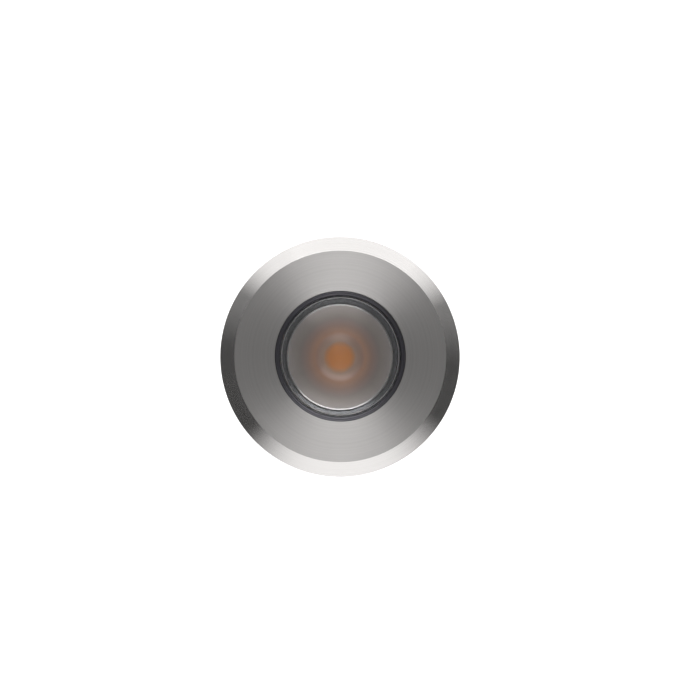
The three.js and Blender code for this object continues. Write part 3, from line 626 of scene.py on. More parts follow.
def lathe(name, outline, steps=WIDE_STEPS, warp=None, centre=(0, 0)):
    """Turns an outline round an axis. warp gives the radii from arrays (radius, height, angle)."""
    solid = on_axis(outline)
    rings = outline[1:-1] if solid else outline
    count = len(rings)
    radius, height = np.array(rings).T[:, :, None]
    angle = (np.arange(steps) * TURN / steps)[None, :]
    radii = warp(radius, height, angle) if warp else radius + 0 * angle
    across, along = centre
    grid = np.stack([
        across + radii * np.cos(angle), along + radii * np.sin(angle), height + 0 * angle
    ], -1)
    points = list(grid.reshape(-1, 3))
    faces = bands(count, steps, closed=not solid)
    if solid:
        for end, ring in ((outline[0], 0), (outline[-1], (count - 1) * steps)):
            points.append((across, along, end[1]))
            tip = len(points) - 1
            faces += [(tip, ring + j, ring + (j + 1) % steps) for j in range(steps)]
    return from_points(name, points, faces)


def rod(name, radius, low, high, steps=DRILL_STEPS):
    """A plain rod along Z, to drill with."""
    return lathe(name, [(0, low), (radius, low), (radius, high), (0, high)], steps)


def place(piece, matrix):
    piece.data.transform(matrix)
    return piece


def combine(piece, other, operation):
    """Applies a boolean to the piece, without the slivers it can leave, and removes the other."""
    change = piece.modifiers.new("combine", "BOOLEAN")
    change.operation = operation
    change.solver = "EXACT"
    change.use_self = False
    change.object = other
    bpy.context.view_layer.update()
    graph = bpy.context.evaluated_depsgraph_get()
    mesh = bpy.data.meshes.new_from_object(piece.evaluated_get(graph))
    reshape(mesh, lambda shape: bmesh.ops.dissolve_degenerate(shape, dist=TINY, edges=shape.edges))
    smooth(mesh)
    piece.modifiers.clear()
    piece.data = mesh
    bpy.data.objects.remove(other)
    return piece


def carve(piece, cutters):
    """Cuts the cutters out of the piece, all at once."""
    mesh = bpy.data.meshes.new("cutter")

    def join(shape):
        for cutter in cutters:
            shape.from_mesh(cutter.data)
            bpy.data.objects.remove(cutter)

    reshape(mesh, join)
    return combine(piece, new_object("cutter", mesh), "DIFFERENCE")


def threaded(crest, low, high, depth):
    """A warp that cuts a right-hand thread into the wall at the crest radius. It fades out."""
    def warp(radius, height, angle):
        fade = np.clip(np.minimum(height - low, high - height) / THREAD_PITCH, 0, 1)
        phase = (height / THREAD_PITCH - angle / TURN) % 1
        flank = (abs(2 * phase - 1) - THREAD_CREST_SHARE) / (1 - 2 * THREAD_CREST_SHARE)
        return radius + depth * (abs(radius - crest) < TINY) * fade * np.clip(flank, 0, 1)
    return warp


# Materials

class Nodes:
    """The nodes of the world or of a material, with its surface shader."""

    def __init__(self, owner, shader):
        owner.use_nodes = True
        self.tree = owner.node_tree
        self.surface = self.tree.nodes[shader]

    def add(self, kind, *inputs, **named):
        """A node, with its first inputs given in order. Inputs by name have a capital."""
        node = self.tree.nodes.new("ShaderNode" + kind)
        for name, value in named.items():
            if name[0].isupper():
                self.give(node.inputs[name], value)
            else:
                setattr(node, name, value)
        for socket, value in zip(node.inputs, inputs):
            self.give(socket, value)
        return node

    def give(self, socket, value):
        if isinstance(value, bpy.types.NodeSocket):
            self.tree.links.new(value, socket)
        else:
            socket.default_value = value

    def wire(self, socket, value):
        """Links or sets one of the surface shader's sockets."""
        self.give(self.surface.inputs[socket], value)

    def math(self, operation, *inputs):
        return self.add("Math", *inputs, operation=operation).outputs[0]

    def point(self):
        """The point in the piece's own space, in metres."""
        return self.add("TexCoord").outputs["Object"]

    def radius(self):
        """The point's distance from the light's axis."""
        level = self.add("VectorMath", self.point(), (1, 1, 0), operation="MULTIPLY").outputs[0]
        return self.add("VectorMath", level, operation="LENGTH").outputs["Value"]

    def noise(self, size, detail=2, stretch=(1, 1, 1)):
        """Noise with features of about this size, from 0 to 1."""
        point = self.add("VectorMath", self.point(), stretch, operation="MULTIPLY").outputs[0]
        return self.add("TexNoise", Vector=point, Scale=1 / size, Detail=detail).outputs["Fac"]

    def line_noise(self, length, size):
        """Noise that changes only along one length, as tool marks do."""
        node = self.add(
            "TexNoise", noise_dimensions="1D", W=length, Scale=1 / size, Detail=MARK_DETAIL
        )
        return node.outputs["Fac"]

    def mean(self, a, b):
        return self.math("MULTIPLY_ADD", a, 0.5, self.math("MULTIPLY", b, 0.5))

    def spread(self, value, low, high, start=0, end=1):
        """Maps a value from start..end to low..high."""
        return self.add("MapRange", value, start, end, low, high).outputs[0]

    def ramp(self, value, stops):
        """A colour by a value from 0 to 1, with stops of (value, colour)."""
        node = self.add("ValToRGB", value)
        elements = node.color_ramp.elements
        while len(elements) < len(stops):
            elements.new(1)
        for element, (position, color) in zip(elements, stops):
            element.position = position
            element.color = (*color, 1)
        return node.outputs["Color"]

    def clouds(self, value, dark, light):
        """Colours the surface from dark to light by a value from 0 to 1."""
        self.wire("Base Color", self.ramp(value, [(0, dark), (1, light)]))

    def bump(self, height, distance, strength):
        node = self.add("Bump", Height=height, Distance=distance, Strength=strength)
        self.wire("Normal", node.outputs["Normal"])

    def grain(self, size, roughness, relief=0, strength=GRAIN_STRENGTH, **pattern):
        """Noise that varies the roughness over a range and, with a relief, the surface."""
        noise = self.noise(size, **pattern)
        rough = self.spread(noise, *roughness)
        self.wire("Roughness", rough)
        if relief:
            self.bump(noise, relief, strength)
        return rough

    def turn_highlights(self):
        """Lays the highlights across the rings that turning leaves."""
        self.wire("Anisotropic Rotation", HIGHLIGHT_TURN)
        tangent = self.add("Tangent", direction_type="RADIAL", axis="Z")
        self.wire("Tangent", tangent.outputs[0])

    def seen(self, ray):
        """1 for what the eye sees, straight or through clear glass, and 0 for any other ray."""
        bounces = self.math("ADD", ray["Diffuse Depth"], ray["Glossy Depth"])
        fresh = self.math("LESS_THAN", bounces, 1)
        through = self.math("MULTIPLY", ray["Is Transmission Ray"], fresh)
        return self.math("MAXIMUM", ray["Is Camera Ray"], through)


class Look(Nodes):
    """A material. Plain numbers are set on the surface shader's own sockets."""

    def __init__(self, name, color, **values):
        self.material = bpy.data.materials.new(name)
        super().__init__(self.material, "Principled BSDF")
        self.wire("Base Color", (*color, 1))
        for socket, value in values.items():
            self.wire(socket.replace("_", " "), value)


def around(value, share):
    """A number or a colour made smaller and larger by a share of it."""
    return np.multiply(value, 1 - share), np.multiply(value, 1 + share)


def turned_look(name, color, roughness, anisotropy, metallic=1, polish_from=None):
    """Turned metal, with fine rings. It is smoother beyond the radius polish_from."""
    look = Look(name, color, Metallic=metallic, Anisotropic=anisotropy)
    height = look.add("SeparateXYZ", look.point()).outputs["Z"]
    across = look.math("SUBTRACT", look.radius(), height)
    fine, rings, broad = (look.line_noise(across, size) for size in MARK_SIZES)
    look.clouds(look.mean(rings, fine), *around(color, CONTRAST))
    mixed = look.mean(look.noise(PATCH_SIZE), broad)
    rough = look.spread(mixed, *around(roughness, CONTRAST))
    if polish_from:
        fade = (polish_from - POLISH_FADE, polish_from + POLISH_FADE)
        finer = look.spread(look.radius(), 1, BEVEL_POLISH, *fade)
        rough = look.math("MULTIPLY", rough, finer)
    look.wire("Roughness", rough)
    look.bump(fine, MARK_RELIEF, MARK_STRENGTH)
    look.turn_highlights()
    return look.material


@functools.cache
def plain(name):
    """A plated, moulded or painted look, which is made once."""
    return plain_look(name, *PLAIN_LOOKS[name], **PLAIN_EXTRAS.get(name, {}))


def plain_look(name, color, roughness, size=GRAIN_SIZE, relief=GRAIN_RELIEF, **values):
    """An even surface with a fine uneven sheen."""
    look = Look(name, color, **values)
    look.clouds(look.noise(CLOUD_SIZE), *around(color, CLOUD_CONTRAST))
    look.grain(size, around(roughness, CONTRAST), relief, detail=GRAIN_DETAIL)
    return look.material


def strip_look():
    """Rolled spring strip, with faint lines along it."""
    look = Look("spring_strip", STRIP_COLOR, Metallic=1)
    look.clouds(look.noise(STRIP_CLOUD_SIZE), *STRIP_COLORS)
    look.grain(**STRIP_LINES)
    return look.material


def glass_look(name, values, grain):
    look = Look(name, **values)
    look.grain(**grain)
    return look.material


def lens_look():
    """Frosted clear plastic, with the LED's orange, as seen through it, painted into its middle,
    and a silvery edge.
    """
    look = Look("frosted_lens", **FROSTED)
    share = look.math("DIVIDE", look.radius(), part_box("optic")[1].x)
    uneven = look.spread(look.noise(LENS_UNEVEN_SIZE), -LENS_UNEVEN_SHARE, LENS_UNEVEN_SHARE)
    # The LED's orange and its halo, as seen through the lens, are painted into the lens's colour
    look.wire("Base Color", look.ramp(look.math("ADD", share, uneven), LENS_COLORS_WITH_PAINTED_LED))
    mirror = [(at, (tone, tone, tone)) for at, tone in LENS_MIRROR]
    look.wire("Metallic", look.ramp(share, mirror))
    polish = look.spread(share, 1, LENS_BEAD_POLISH, *LENS_BEAD_SHARES)
    rough = look.grain(**FROSTED_GRAIN)
    look.wire("Roughness", look.math("MULTIPLY", rough, polish))
    look.turn_highlights()
    return look.material


# Pieces. Each function makes one, and dress() seats it on its body.

def paint(piece, look):
    """Gives a piece a material, or one of the plain looks by its name."""
    piece.data.materials.clear()
    piece.data.materials.append(plain(look) if isinstance(look, str) else look)


def dress(piece, look, slot, *nodes, body="housing"):
    """Gives a piece its look, seats it on its body and lets it stand for its CAD nodes."""
    paint(piece, look)
    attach(piece, body)
    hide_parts(*nodes)
    return piece


def keep(node, look, edge):
    """Keeps a CAD node, with its edges broken."""
    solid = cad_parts[node]
    paint(solid, look)
    weld = solid.modifiers.new("weld", "WELD")
    weld.merge_threshold = TINY
    bevel = solid.modifiers.new("bevel", "BEVEL")
    bevel.width = edge
    bevel.segments = BEVEL_SEGMENTS
    bevel.limit_method = "ANGLE"
    bevel.angle_limit = radians(BEVEL_FROM_DEGREES)


def turned(node, name, azimuth=PLAIN_AZIMUTH, edge=EDGE_RADIUS, steps=MID_STEPS, centre=(0, 0)):
    """A smooth copy of a plain turned node."""
    return lathe(name, soften(section(node, azimuth, centre), edge), steps, centre=centre)


def board_can(node, name, edge):
    """A smooth copy of a round part that stands on the driver board."""
    return turned(node, name, 0, edge, SMALL_STEPS, middle_of(node))


def make_bezel():
    """The ring, with its face's fine grooves and the thread in its skirt."""
    outline = section("bezel")
    face = max(z for r, z in outline)
    bore = sorted({round(r, RADIUS_DIGITS) for r, z in outline})[1]
    low, high = longest_wall(outline, bore)
    outline = soften(outline, EDGE_RADIUS)
    outline = groove(outline, face)
    outline = divide(outline, wall_at(bore))
    warp = threaded(bore, low, high, NECK_THREAD_DEPTH)
    return lathe("turned_bezel", outline, WIDE_STEPS, warp)


def make_seal():
    """The rubber seal. Its top slopes in to the glass, with a ridge and a groove round it."""
    outline = section("lens_seal")
    top = max(z for r, z in outline)
    collar = [r for r, z in outline if z > top - SEAL_BEAD_RADIUS - TINY]
    inner, outer = min(collar), max(collar)

    def slope(share, lift=0):
        radius = inner + (outer - inner) * share
        return radius, top - SEAL_SLOPE * (1 - share) + lift

    cone = [slope(0)]
    for shares, lift in ((SEAL_RIDGE_SHARES, SEAL_RIDGE), (SEAL_GROOVE_SHARES, -SEAL_GROOVE)):
        start, full, fading, end = shares
        cone += [slope(start), slope(full, lift), slope(fading, lift), slope(end)]
    cone.append(slope(1))
    body = [p for p in outline if p[1] < top - SEAL_BEAD_RADIUS - TINY]
    first = min(range(len(body)), key=lambda i: dist(body[i], cone[0]))
    body = body[first:] + body[:first]
    if dist(body[-1], cone[-1]) > dist(body[1], cone[-1]):
        body = [body[0]] + body[:0:-1]
    return lathe("moulded_seal", soften(cone[::-1] + body, SEAL_SOFTNESS, FEW_CORNER_STEPS))


def make_glass():
    """The stepped glass. Its ground chamfer stands a little in from the seal."""
    outline = section("cover_glass")
    top = max(z for r, z in outline)
    foot = min(z for r, z in outline if r > TINY)
    pad = max(r for r, z in outline if z > foot + GLASS_FLANGE)
    edge = pad - GLASS_STEP
    outline = [p for p in outline if p[1] < foot + GLASS_FLANGE or p[0] < TINY][:-1]
    outline += [
        (pad, top - GLASS_STEP_DEPTH),
        (edge, top - GLASS_STEP_DEPTH),
        (edge, top - GLASS_CHAMFER),
        (edge - GLASS_CHAMFER, top),
        (0, top),
    ]
    return lathe("clear_glass", soften(outline, CLEAR_EDGE_RADIUS))


def grind_edge(glass, material):
    """Gives the faces of the glass that don't lie level a second material."""
    glass.data.materials.append(material)
    for face in glass.data.polygons:
        if abs(face.normal.z) < GLASS_FACE_NORMAL:
            face.material_index = 1


def make_lens():
    """The lens, with a polished bead round its dished face and a shallow well in it."""
    outline = section("optic")
    rim, top = map(max, zip(*outline))
    corner = min(range(len(outline)), key=lambda i: dist(outline[i], (rim, top)))
    inner = rim - LENS_LAND - LENS_BEAD_WIDTH
    near, far = LENS_WELL_RADII
    face = []
    for k in range(LENS_FACE_STEPS + 1):
        radius = inner * (1 - k / LENS_FACE_STEPS)
        across = np.clip((radius - near) / (far - near), 0, 1)
        well = LENS_WELL_DEPTH * (1 - across**2 * (3 - 2 * across))
        dish = LENS_DISH * (1 - (radius / inner) ** 2)
        face.append((radius, top - LENS_BEAD_DEPTH - dish - well))
    side = outline[:corner] + [(rim, top), (rim - LENS_LAND, top), face[0]]
    side = soften(side, CLEAR_EDGE_RADIUS, closed=False)
    return lathe("frosted_lens", side[:-1] + face, MID_STEPS)


def make_holder():
    """The holder, with its three windows."""
    low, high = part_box("optic_holder")
    outline = []
    for r, z in section("optic_holder", HOLDER_AZIMUTH):
        if z > high.z - TINY and r < high.x - TINY:
            outline += sorted([(r, z - HOLDER_LEAD_IN_DEPTH), (r + HOLDER_LEAD_IN_WIDTH, z)])
        else:
            outline.append((r, z))
    shell = lathe("lens_holder", soften(outline, EDGE_RADIUS), MID_STEPS)
    window = rectangle(0, high.x + OVERRUN, HOLDER_WINDOW_WIDTH / 2)
    bottom, top = low.z + HOLDER_WINDOW_LOW, high.z - HOLDER_WINDOW_HIGH
    return carve(shell, [
        place(prism("window", window, bottom, top), turn(azimuth))
        for azimuth in HOLDER_WINDOW_AZIMUTHS
    ])


def make_dome():
    low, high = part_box("led_dome")
    quarter = arc(0, low.z, high.z - low.z, 0, 90, LONG_ARC_STEPS)
    return lathe("led_dome_clear", [(0, low.z)] + quarter, SMALL_STEPS)


def pan_screw(name, kind, length):
    """A pan head screw along Z, with its seat at 0 and a cross recess in its head."""
    rim = kind.height * SCREW_RIM_SHARE
    crown = kind.height - rim
    flat = kind.head * SCREW_FLAT_SHARE
    foot = [(0, -length), (kind.shank, -length), (kind.shank, -kind.washer)]
    if kind.washer:
        washer = kind.head * WASHER_SHARE
        foot += [(washer, -kind.washer), (washer, 0)]
    side = foot + [(kind.head, 0), (kind.head, rim)]
    profile = soften(side, EDGE_RADIUS / 2, FEW_CORNER_STEPS, closed=False)
    profile += [
        (flat + (kind.head - flat) * cos(a), rim + crown * sin(a))
        for a in np.radians(np.linspace(0, 90, SHORT_ARC_STEPS + 1)[1:])
    ]
    screw = lathe(name, profile + [(0, kind.height)], SMALL_STEPS)
    half_width, half_length, depth = (kind.head * share / 2 for share in RECESS_SHARES)
    plus = cross(half_width, half_length)
    return carve(screw, [prism("recess", plus, kind.height - depth, kind.height + depth)])


def set_screw(node, kind, up):
    """Puts a screw along Z where its node is, with its head up or down."""
    low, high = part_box(node)
    screw = pan_screw(node + "_pan", kind, high.z - low.z - kind.height)
    x, y = middle_of(node)
    seat = high.z - kind.height if up else low.z + kind.height
    flip = Matrix.Rotation(0 if up else pi, 4, "X")
    place(screw, Matrix.Translation((x, y, seat)) @ flip)
    dress(screw, "screw_steel", "screw_steel", node)


def round_bar(name, points, radius, steps):
    """A round bar along a line of points."""
    last = len(points) - 1
    rings = []
    side = None
    for i, point in enumerate(points):
        along = (points[min(i + 1, last)] - points[max(i - 1, 0)]).normalized()
        side = along.orthogonal() if side is None else side - along * side.dot(along)
        side.normalize()
        other = along.cross(side)
        angles = [TURN * k / steps for k in range(steps)]
        rings.append([point + (side * cos(a) + other * sin(a)) * radius for a in angles])
    return tube(name, rings)


def make_lead(name, node, azimuth):
    """An LED lead: along the board, over its edge and down to the driver board."""
    out = heading(azimuth)
    low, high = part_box(node)
    across = [v.co.dot(out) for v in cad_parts[node].data.vertices]
    far, level = max(across) - LEAD_RADIUS, high.z - LEAD_RADIUS
    route = [(min(across), level)]
    route += arc(far - LEAD_BEND, level - LEAD_BEND, LEAD_BEND, 90, 0)
    route += [(far, low.z)]
    return round_bar(name, [spot(azimuth, r, z) for r, z in route], LEAD_RADIUS, LEAD_STEPS)


def pocket_cutter(azimuth, wall, bend):
    """What is milled away behind a leaf spring."""
    low = bend - SPRING_FOOT - POCKET_END_GAP
    high = bend + SPRING_RISE + SPRING_TIP_RISE + POCKET_END_GAP
    outline = round_rectangle(SPRING_WIDTH / 2 + POCKET_SIDE_GAP, low, high, POCKET_CORNER)
    pocket = prism("pocket", outline, 0, POCKET_DEPTH + OVERRUN)
    return place(pocket, outward(azimuth, wall - POCKET_DEPTH, 0))


def drills(node, radius, azimuths, gap=HOLE_GAP, span=None):
    """Drills along Z, as far from the light's axis as the node is and past both its ends."""
    low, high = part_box(node)
    low, high = span or (low.z - HOLE_END_GAP, high.z + HOLE_END_GAP)
    circle = hypot(*middle_of(node))
    return [
        place(rod("drill", radius + gap, low, high), Matrix.Translation(spot(azimuth, circle)))
        for azimuth in azimuths
    ]


def barrel_drills(wall, bend):
    """What opens the barrel's screw holes and, in its web, the holes for the leads."""
    made = []
    for azimuth in SPRING_AZIMUTHS:
        hole = rod("drill", SPRING_SCREW.shank + HOLE_GAP, -SPRING_HOLE_DEPTH, OVERRUN)
        made.append(place(hole, outward(azimuth, wall - POCKET_DEPTH, bend - SPRING_SCREW_DROP)))
    web = (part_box("driver_spacer_1")[1].z - OVERRUN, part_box("thermal_pad")[0].z + OVERRUN)
    made += drills("cap_screw_1", CAP_SCREW.shank, CAP_SCREW_AZIMUTHS)
    made += drills("driver_screw_1", DRIVER_SCREW.shank, CAP_SCREW_AZIMUTHS)
    made += drills("board_screw_1", BOARD_SCREW.shank, BOARD_SCREW_AZIMUTHS)
    made += drills("board_screw_1", LEAD_RADIUS, LEAD_AZIMUTHS, LEAD_HOLE_GAP, web)
    return made


def make_barrel():
    """The barrel, with its neck's thread, the pockets behind the springs and the screw holes."""
    outline = section("barrel", PLAIN_AZIMUTH)
    wall = max(r for r, z in outline)
    shoulder = max(z for r, z in outline if r > wall - SHOULDER_CHAMFER)
    neck = max(r for r, z in outline if z > shoulder + TINY)
    low, high = longest_wall(outline, neck)
    at_neck = wall_at(neck)

    def on_thread(a, b):
        return at_neck(a, b) and min(a[1], b[1]) > low - TINY

    outline = soften(outline, EDGE_RADIUS, FEW_CORNER_STEPS)
    outline = divide(outline, on_thread)
    warp = threaded(neck, low, high, -NECK_THREAD_DEPTH)
    body = lathe("turned_barrel", outline, WIDE_STEPS, warp)
    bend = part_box("leaf_spring_1")[0].z + SPRING_FOOT
    carve(body, [pocket_cutter(azimuth, wall, bend) for azimuth in SPRING_AZIMUTHS])
    return carve(body, barrel_drills(wall, bend))


def make_cap():
    """The end cap, drilled for its screws."""
    disc = turned("end_cap", "turned_cap", steps=WIDE_STEPS)
    return carve(disc, drills("cap_screw_1", CAP_SCREW.shank, CAP_SCREW_AZIMUTHS))


def ring_seal(node, name, thickness):
    """A rubber ring of round section."""
    low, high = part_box(node)
    half = thickness / 2
    outline = arc(high.x - half, (low.z + high.z) / 2, half, 0, 360, RING_SEAL_STEPS)[:-1]
    return lathe(name, outline, MID_STEPS)


def spring_line():
    """The strip's middle line, as (out, up) from its bend, in short steps."""
    tip_start = (SPRING_REACH, SPRING_RISE)
    straight = [(0, -SPRING_FOOT), (0, 0), tip_start]
    line = soften(straight, SPRING_BEND_RADIUS, SHORT_ARC_STEPS, closed=False)
    steer = (SPRING_REACH + SPRING_TIP_CURL / 2, SPRING_RISE + SPRING_TIP_RISE / 2)
    end = (SPRING_REACH - SPRING_TIP_CURL, SPRING_RISE + SPRING_TIP_RISE)
    tip = curve(*np.array((tip_start, steer, end)), LONG_ARC_STEPS)
    line += [tuple(point) for point in tip[1:]]
    spaced = [line[0]]
    for a, b in zip(line, line[1:]):
        spaced += between(a, b, SPRING_STEP) + [b]
    return spaced


def spring_half_width(up, from_end):
    """Half the strip's width at a height above its bend, with its end corners rounded."""
    taper = np.clip(up / SPRING_RISE, 0, 1)
    half = (SPRING_WIDTH + (SPRING_TIP_WIDTH - SPRING_WIDTH) * taper) / 2
    short = max(SPRING_CORNER - from_end, 0)
    return half - SPRING_CORNER + sqrt(max(SPRING_CORNER**2 - short**2, 0))


def make_spring(name, azimuth, radius, bend):
    """A leaf spring: a strip with rounded edges and a hole in its foot."""
    line = spring_line()
    last = len(line) - 1
    lengths = [0]
    for a, b in zip(line, line[1:]):
        lengths.append(lengths[-1] + dist(a, b))
    half = SPRING_THICKNESS / 2
    rings = []
    for i, (out, up) in enumerate(line):
        ahead, behind = line[min(i + 1, last)], line[max(i - 1, 0)]
        along = Vector((ahead[0] - behind[0], ahead[1] - behind[1])).normalized()
        face = Vector((along.y, -along.x))
        width = spring_half_width(up, min(lengths[i], lengths[-1] - lengths[i]))
        edge = round_rectangle(width, -half, half, half * SPRING_EDGE_SHARE, CORNER_STEPS)
        rings.append([(x, up + face.y * y, out + face.x * y) for x, y in edge])
    strip = tube(name, rings)
    hole = rod("hole", SPRING_HOLE_RADIUS, -OVERRUN, OVERRUN, SMALL_STEPS)
    place(hole, Matrix.Translation((0, -SPRING_SCREW_DROP, 0)))
    carve(strip, [hole])
    smooth(strip.data, SPRING_SHARP_DEGREES)
    return place(strip, outward(azimuth, radius, bend))


def hex_prism(corner, low, high):
    """A hexagonal prism, by the radius of its corners."""
    first = HEX_CORNER_AZIMUTH
    return prism("hexagon", arc(0, 0, corner, first, first + 360, HEX_SIDES)[:-1], low, high)


def make_gland_body():
    """The gland's body: a hexagon with turned corners, and a threaded stem slit into claws."""
    outline = section("gland_body", 0)
    flat = max(r for r, z in outline)
    levels = [z for r, z in outline if r > flat - TINY]
    bottom, top = min(levels), max(levels)
    corner = flat / cos(pi / HEX_SIDES)
    drop = HEX_CHAMFER * tan(radians(HEX_CHAMFER_DEGREES))
    inner = (min(r for r, z in outline) + GLAND_THREAD_RADIUS) / 2
    hexagon = lathe("gland_body_turned", [
        (inner, bottom), (corner - HEX_CHAMFER, bottom), (corner, bottom + drop),
        (corner, top - drop), (corner - HEX_CHAMFER, top), (inner, top),
    ], MID_STEPS)
    combine(hexagon, hex_prism(corner, bottom - OVERRUN, top + OVERRUN), "INTERSECT")
    stem = straighten([(min(r, GLAND_THREAD_RADIUS), z) for r, z in outline], closed=True)
    low, high = min(z for r, z in outline), bottom - OVERRUN / 2
    stem = divide(soften(stem, EDGE_RADIUS), wall_at(GLAND_THREAD_RADIUS))
    warp = threaded(GLAND_THREAD_RADIUS, low, high, -GLAND_THREAD_DEPTH)
    stem = lathe("stem", stem, MID_STEPS, warp)
    reach = GLAND_THREAD_RADIUS + OVERRUN
    slot = rectangle(-reach, reach, GLAND_SLOT_WIDTH / 2)
    for azimuth in GLAND_SLOT_AZIMUTHS:
        cutter = prism("slot", slot, low - OVERRUN, low + GLAND_CLAW_LENGTH)
        carve(stem, [place(cutter, turn(azimuth))])
    return combine(hexagon, stem, "UNION")


def make_gland_nut():
    """The gland's nut: a hexagon that runs into a dome."""
    outline = section("gland_nut", HEX_CORNER_AZIMUTH)
    outline = soften(outline, GLAND_NUT_SOFTNESS, GLAND_NUT_STEPS)
    nut = lathe("gland_nut_turned", outline, MID_STEPS)
    low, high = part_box("gland_nut")
    corner = max(r for r, z in outline)
    return combine(nut, hex_prism(corner, low.z - OVERRUN, high.z + OVERRUN), "INTERSECT")


# Dressing

def dress_head():
    """The ring, the slip washer, the seal, the glass, the lens and its holder, and the LED."""
    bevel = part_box("bezel")[1].x - BEVEL_WIDTH
    steel = turned_look("turned_steel", **STEEL, polish_from=bevel)
    dress(make_bezel(), steel, "bezel_steel", "bezel", body="bezel_ring")
    washer = turned("slip_washer", "slip_ring_washer")
    dress(washer, "slip_washer", "slip_washer", "slip_washer", body="slip_ring")
    dress(make_seal(), "rubber", "rubber", "lens_seal")
    clear = glass_look("glass", GLASS, GLASS_HAZE)
    glass = dress(make_glass(), clear, "cover_glass", "cover_glass")
    # The ground edge's dark grey is painted shade, for the seal seen through it
    grind_edge(glass, glass_look("ground_glass", GROUND_GLASS, GROUND_GRAIN))
    dress(make_lens(), lens_look(), "optic_plastic", "optic")
    dress(make_holder(), "holder_plastic", "holder_plastic", "optic_holder")
    dress(make_dome(), "phosphor", "led_phosphor", "led_dome")
    keep("led_package", "ceramic", BOARD_EDGE)
    keep("led_board", "star_board", BOARD_EDGE)
    keep("thermal_pad", "thermal_pad", BOARD_EDGE)
    for i in (1, 2):
        set_screw(f"board_screw_{i}", BOARD_SCREW, up=True)
    leads = zip(("positive", "negative"), ("lead_red", "lead_black"), LEAD_AZIMUTHS)
    for pole, look, azimuth in leads:
        lead = make_lead(f"lead_{pole}", f"led_lead_{pole}", azimuth)
        dress(lead, look, look, f"led_lead_{pole}")


def dress_springs():
    """The leaf springs and their screws."""
    strip = strip_look()
    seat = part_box("leaf_spring_1")[0].y + SPRING_THICKNESS / 2
    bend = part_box("leaf_spring_1")[0].z + SPRING_FOOT
    level = bend - SPRING_SCREW_DROP
    for i, azimuth in enumerate(SPRING_AZIMUTHS):
        piece = make_spring(f"spring_strip_{i + 1}", azimuth, seat, bend)
        paint(piece, strip)
        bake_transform(piece)
        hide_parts(f"leaf_spring_{i + 1}")
        fixing = pan_screw(f"strip_screw_{i + 1}", SPRING_SCREW, SPRING_SCREW_LENGTH)
        under_head = seat + SPRING_THICKNESS / 2 + SPRING_SCREW.washer
        place(fixing, outward(azimuth, under_head, level))
        dress(fixing, "screw_steel", "screw_steel", f"spring_screw_{i + 1}")


def dress_driver():
    """The driver board with its parts, spacers and screws, and the end cap's screws."""
    for i in (1, 2, 3):
        keep(f"driver_spacer_{i}", "nickel_plate", BLOCK_EDGE)
        set_screw(f"driver_screw_{i}", DRIVER_SCREW, up=False)
        set_screw(f"cap_screw_{i}", CAP_SCREW, up=False)
    keep("driver_board", "circuit_board", BOARD_EDGE)
    keep("driver_rectifier", "component_black", CAN_EDGE)
    coil = board_can("driver_coil", "wound_coil", BLOCK_EDGE)
    dress(coil, "component_black", "component_black", "driver_coil")
    can = board_can("driver_capacitor", "capacitor_can", CAN_EDGE)
    dress(can, "capacitor_sleeve", "capacitor_sleeve", "driver_capacitor")
    keep("terminal_block", "terminal_plastic", BLOCK_EDGE)


def dress_all():
    dress_head()
    black = turned_look("anodised", **ANODISED)
    dress(make_barrel(), black, "black_anodised", "barrel")
    neck_seal = ring_seal("neck_seal_ring", "neck_ring", NECK_RING_THICKNESS)
    dress(neck_seal, "rubber", "rubber", "neck_seal_ring")
    dress_springs()
    dress_driver()
    dress(make_cap(), black, "black_anodised", "end_cap")
    cap_seal = ring_seal("cap_seal_ring", "cap_ring", CAP_RING_THICKNESS)
    dress(cap_seal, "rubber", "rubber", "cap_seal_ring")
    dress(turned("gland_washer", "gland_flat_washer"), "rubber", "rubber", "gland_washer")
    dress(make_gland_body(), "nickel_plate", "nickel_brass", "gland_body")
    dress(turned("gland_seal", "gland_bung"), "rubber", "rubber", "gland_seal")
    dress(make_gland_nut(), "nickel_plate", "nickel_brass", "gland_nut")


# Studio

def softbox(name, azimuth, elevation, distance, width, height, radiance):
    """A rectangular lamp that faces the light. Its power follows from how bright it looks."""
    data = bpy.data.lights.new(name, "AREA")
    data.shape = "RECTANGLE"
    data.size = width
    data.size_y = height
    data.energy = radiance * pi * width * height
    lamp = new_object(name, data)
    tilt = radians(elevation)
    away = spot(azimuth, cos(tilt), sin(tilt))
    lamp.location = away * distance
    lamp.rotation_mode = "QUATERNION"
    lamp.rotation_quaternion = away.to_track_quat("Z", "Y")
    lamp.visible_camera = False


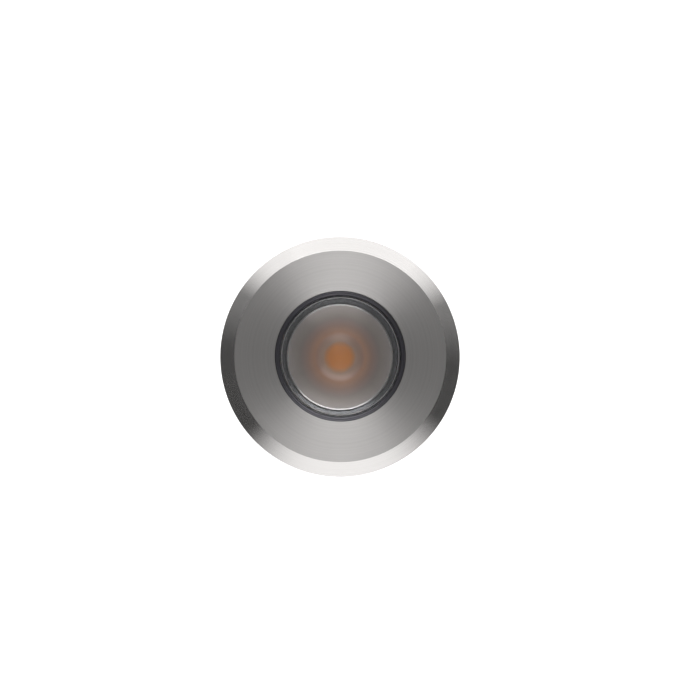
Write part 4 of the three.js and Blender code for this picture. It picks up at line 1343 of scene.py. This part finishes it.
def make_camera():
    """Almost straight above the ring, which lies where the photograph has it."""
    low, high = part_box("bezel")
    pixel = (high.x - low.x) / RING_DIAMETER_PX
    data = bpy.data.cameras.new("camera")
    data.sensor_width = SENSOR_WIDTH
    data.lens = SENSOR_WIDTH * CAMERA_DISTANCE / (pixel * PHOTO_SIDE_PX)
    camera = new_object("camera", data)
    lean = radians(CAMERA_LEAN_DEGREES)
    away = spot(CAMERA_LEAN_AZIMUTH, sin(lean), cos(lean))
    side = Vector((0, 1, 0)).cross(away).normalized()
    upward = away.cross(side)
    at = upward * RING_DROP_PX * pixel + away * CAMERA_DISTANCE
    facing = Matrix((side, upward, away)).transposed().to_4x4()
    camera.matrix_world = Matrix.Translation(at) @ facing
    bpy.context.scene.camera = camera


def make_floor(level):
    """A pale floor under the light. The eye sees it white, with the light's shadow on it."""
    half = FLOOR_SIDE / 2
    corners = [(x, y, level) for x, y in rectangle(-half, half, half)]
    floor = from_points("floor", corners, [tuple(range(len(corners)))])
    look = Look("floor", FLOOR_COLOR)
    look.grain(**FLOOR_GRAIN)
    ray = look.add("LightPath").outputs
    shine = look.math("MULTIPLY", ray["Is Glossy Ray"], FLOOR_SHINE)
    glow = look.math("MAXIMUM", look.seen(ray), shine)
    look.wire("Emission Color", WHITE)
    look.wire("Emission Strength", look.math("MULTIPLY", glow, FLOOR_GLOW))
    below = look.add("NewGeometry").outputs["Backfacing"]
    clear = look.add("BsdfTransparent").outputs[0]
    mix = look.add("MixShader", below, look.surface.outputs[0], clear)
    look.give(look.tree.nodes["Material Output"].inputs["Surface"], mix.outputs[0])
    floor.data.materials.append(look.material)


def make_world():
    """A bright wall in front and one behind, and a dark arch between. The eye sees it white."""
    world = bpy.data.worlds.new("studio")
    bpy.context.scene.world = world
    room = Nodes(world, "Background")
    direction = room.add("TexCoord").outputs["Generated"]
    up = room.add("SeparateXYZ", direction).outputs["Z"]
    light = room.spread(up, *ARCH_TONES)
    for azimuth, fade, tone in (FRONT_WALL, BACK_WALL):
        along = room.add("VectorMath", direction, heading(azimuth), operation="DOT_PRODUCT")
        toward = along.outputs["Value"]
        wall = room.add("MapRange", toward, *fade, 0, tone, interpolation_type="SMOOTHSTEP")
        light = room.math("MAXIMUM", light, wall.outputs[0])
    fade, tones = BACK_GLOW
    light = room.math("MAXIMUM", light, room.spread(toward, *tones, *fade))
    seen = room.seen(room.add("LightPath").outputs)
    room.wire("Color", WHITE)
    room.wire("Strength", room.math("MAXIMUM", seen, light))


dress_all()
make_camera()
make_floor(cad_box[0].z - FLOOR_GAP)
make_world()
softbox("softbox_front", **FRONT_SOFTBOX)
softbox("softbox_back", **BACK_SOFTBOX)
bpy.context.scene.view_settings.view_transform = "Standard"
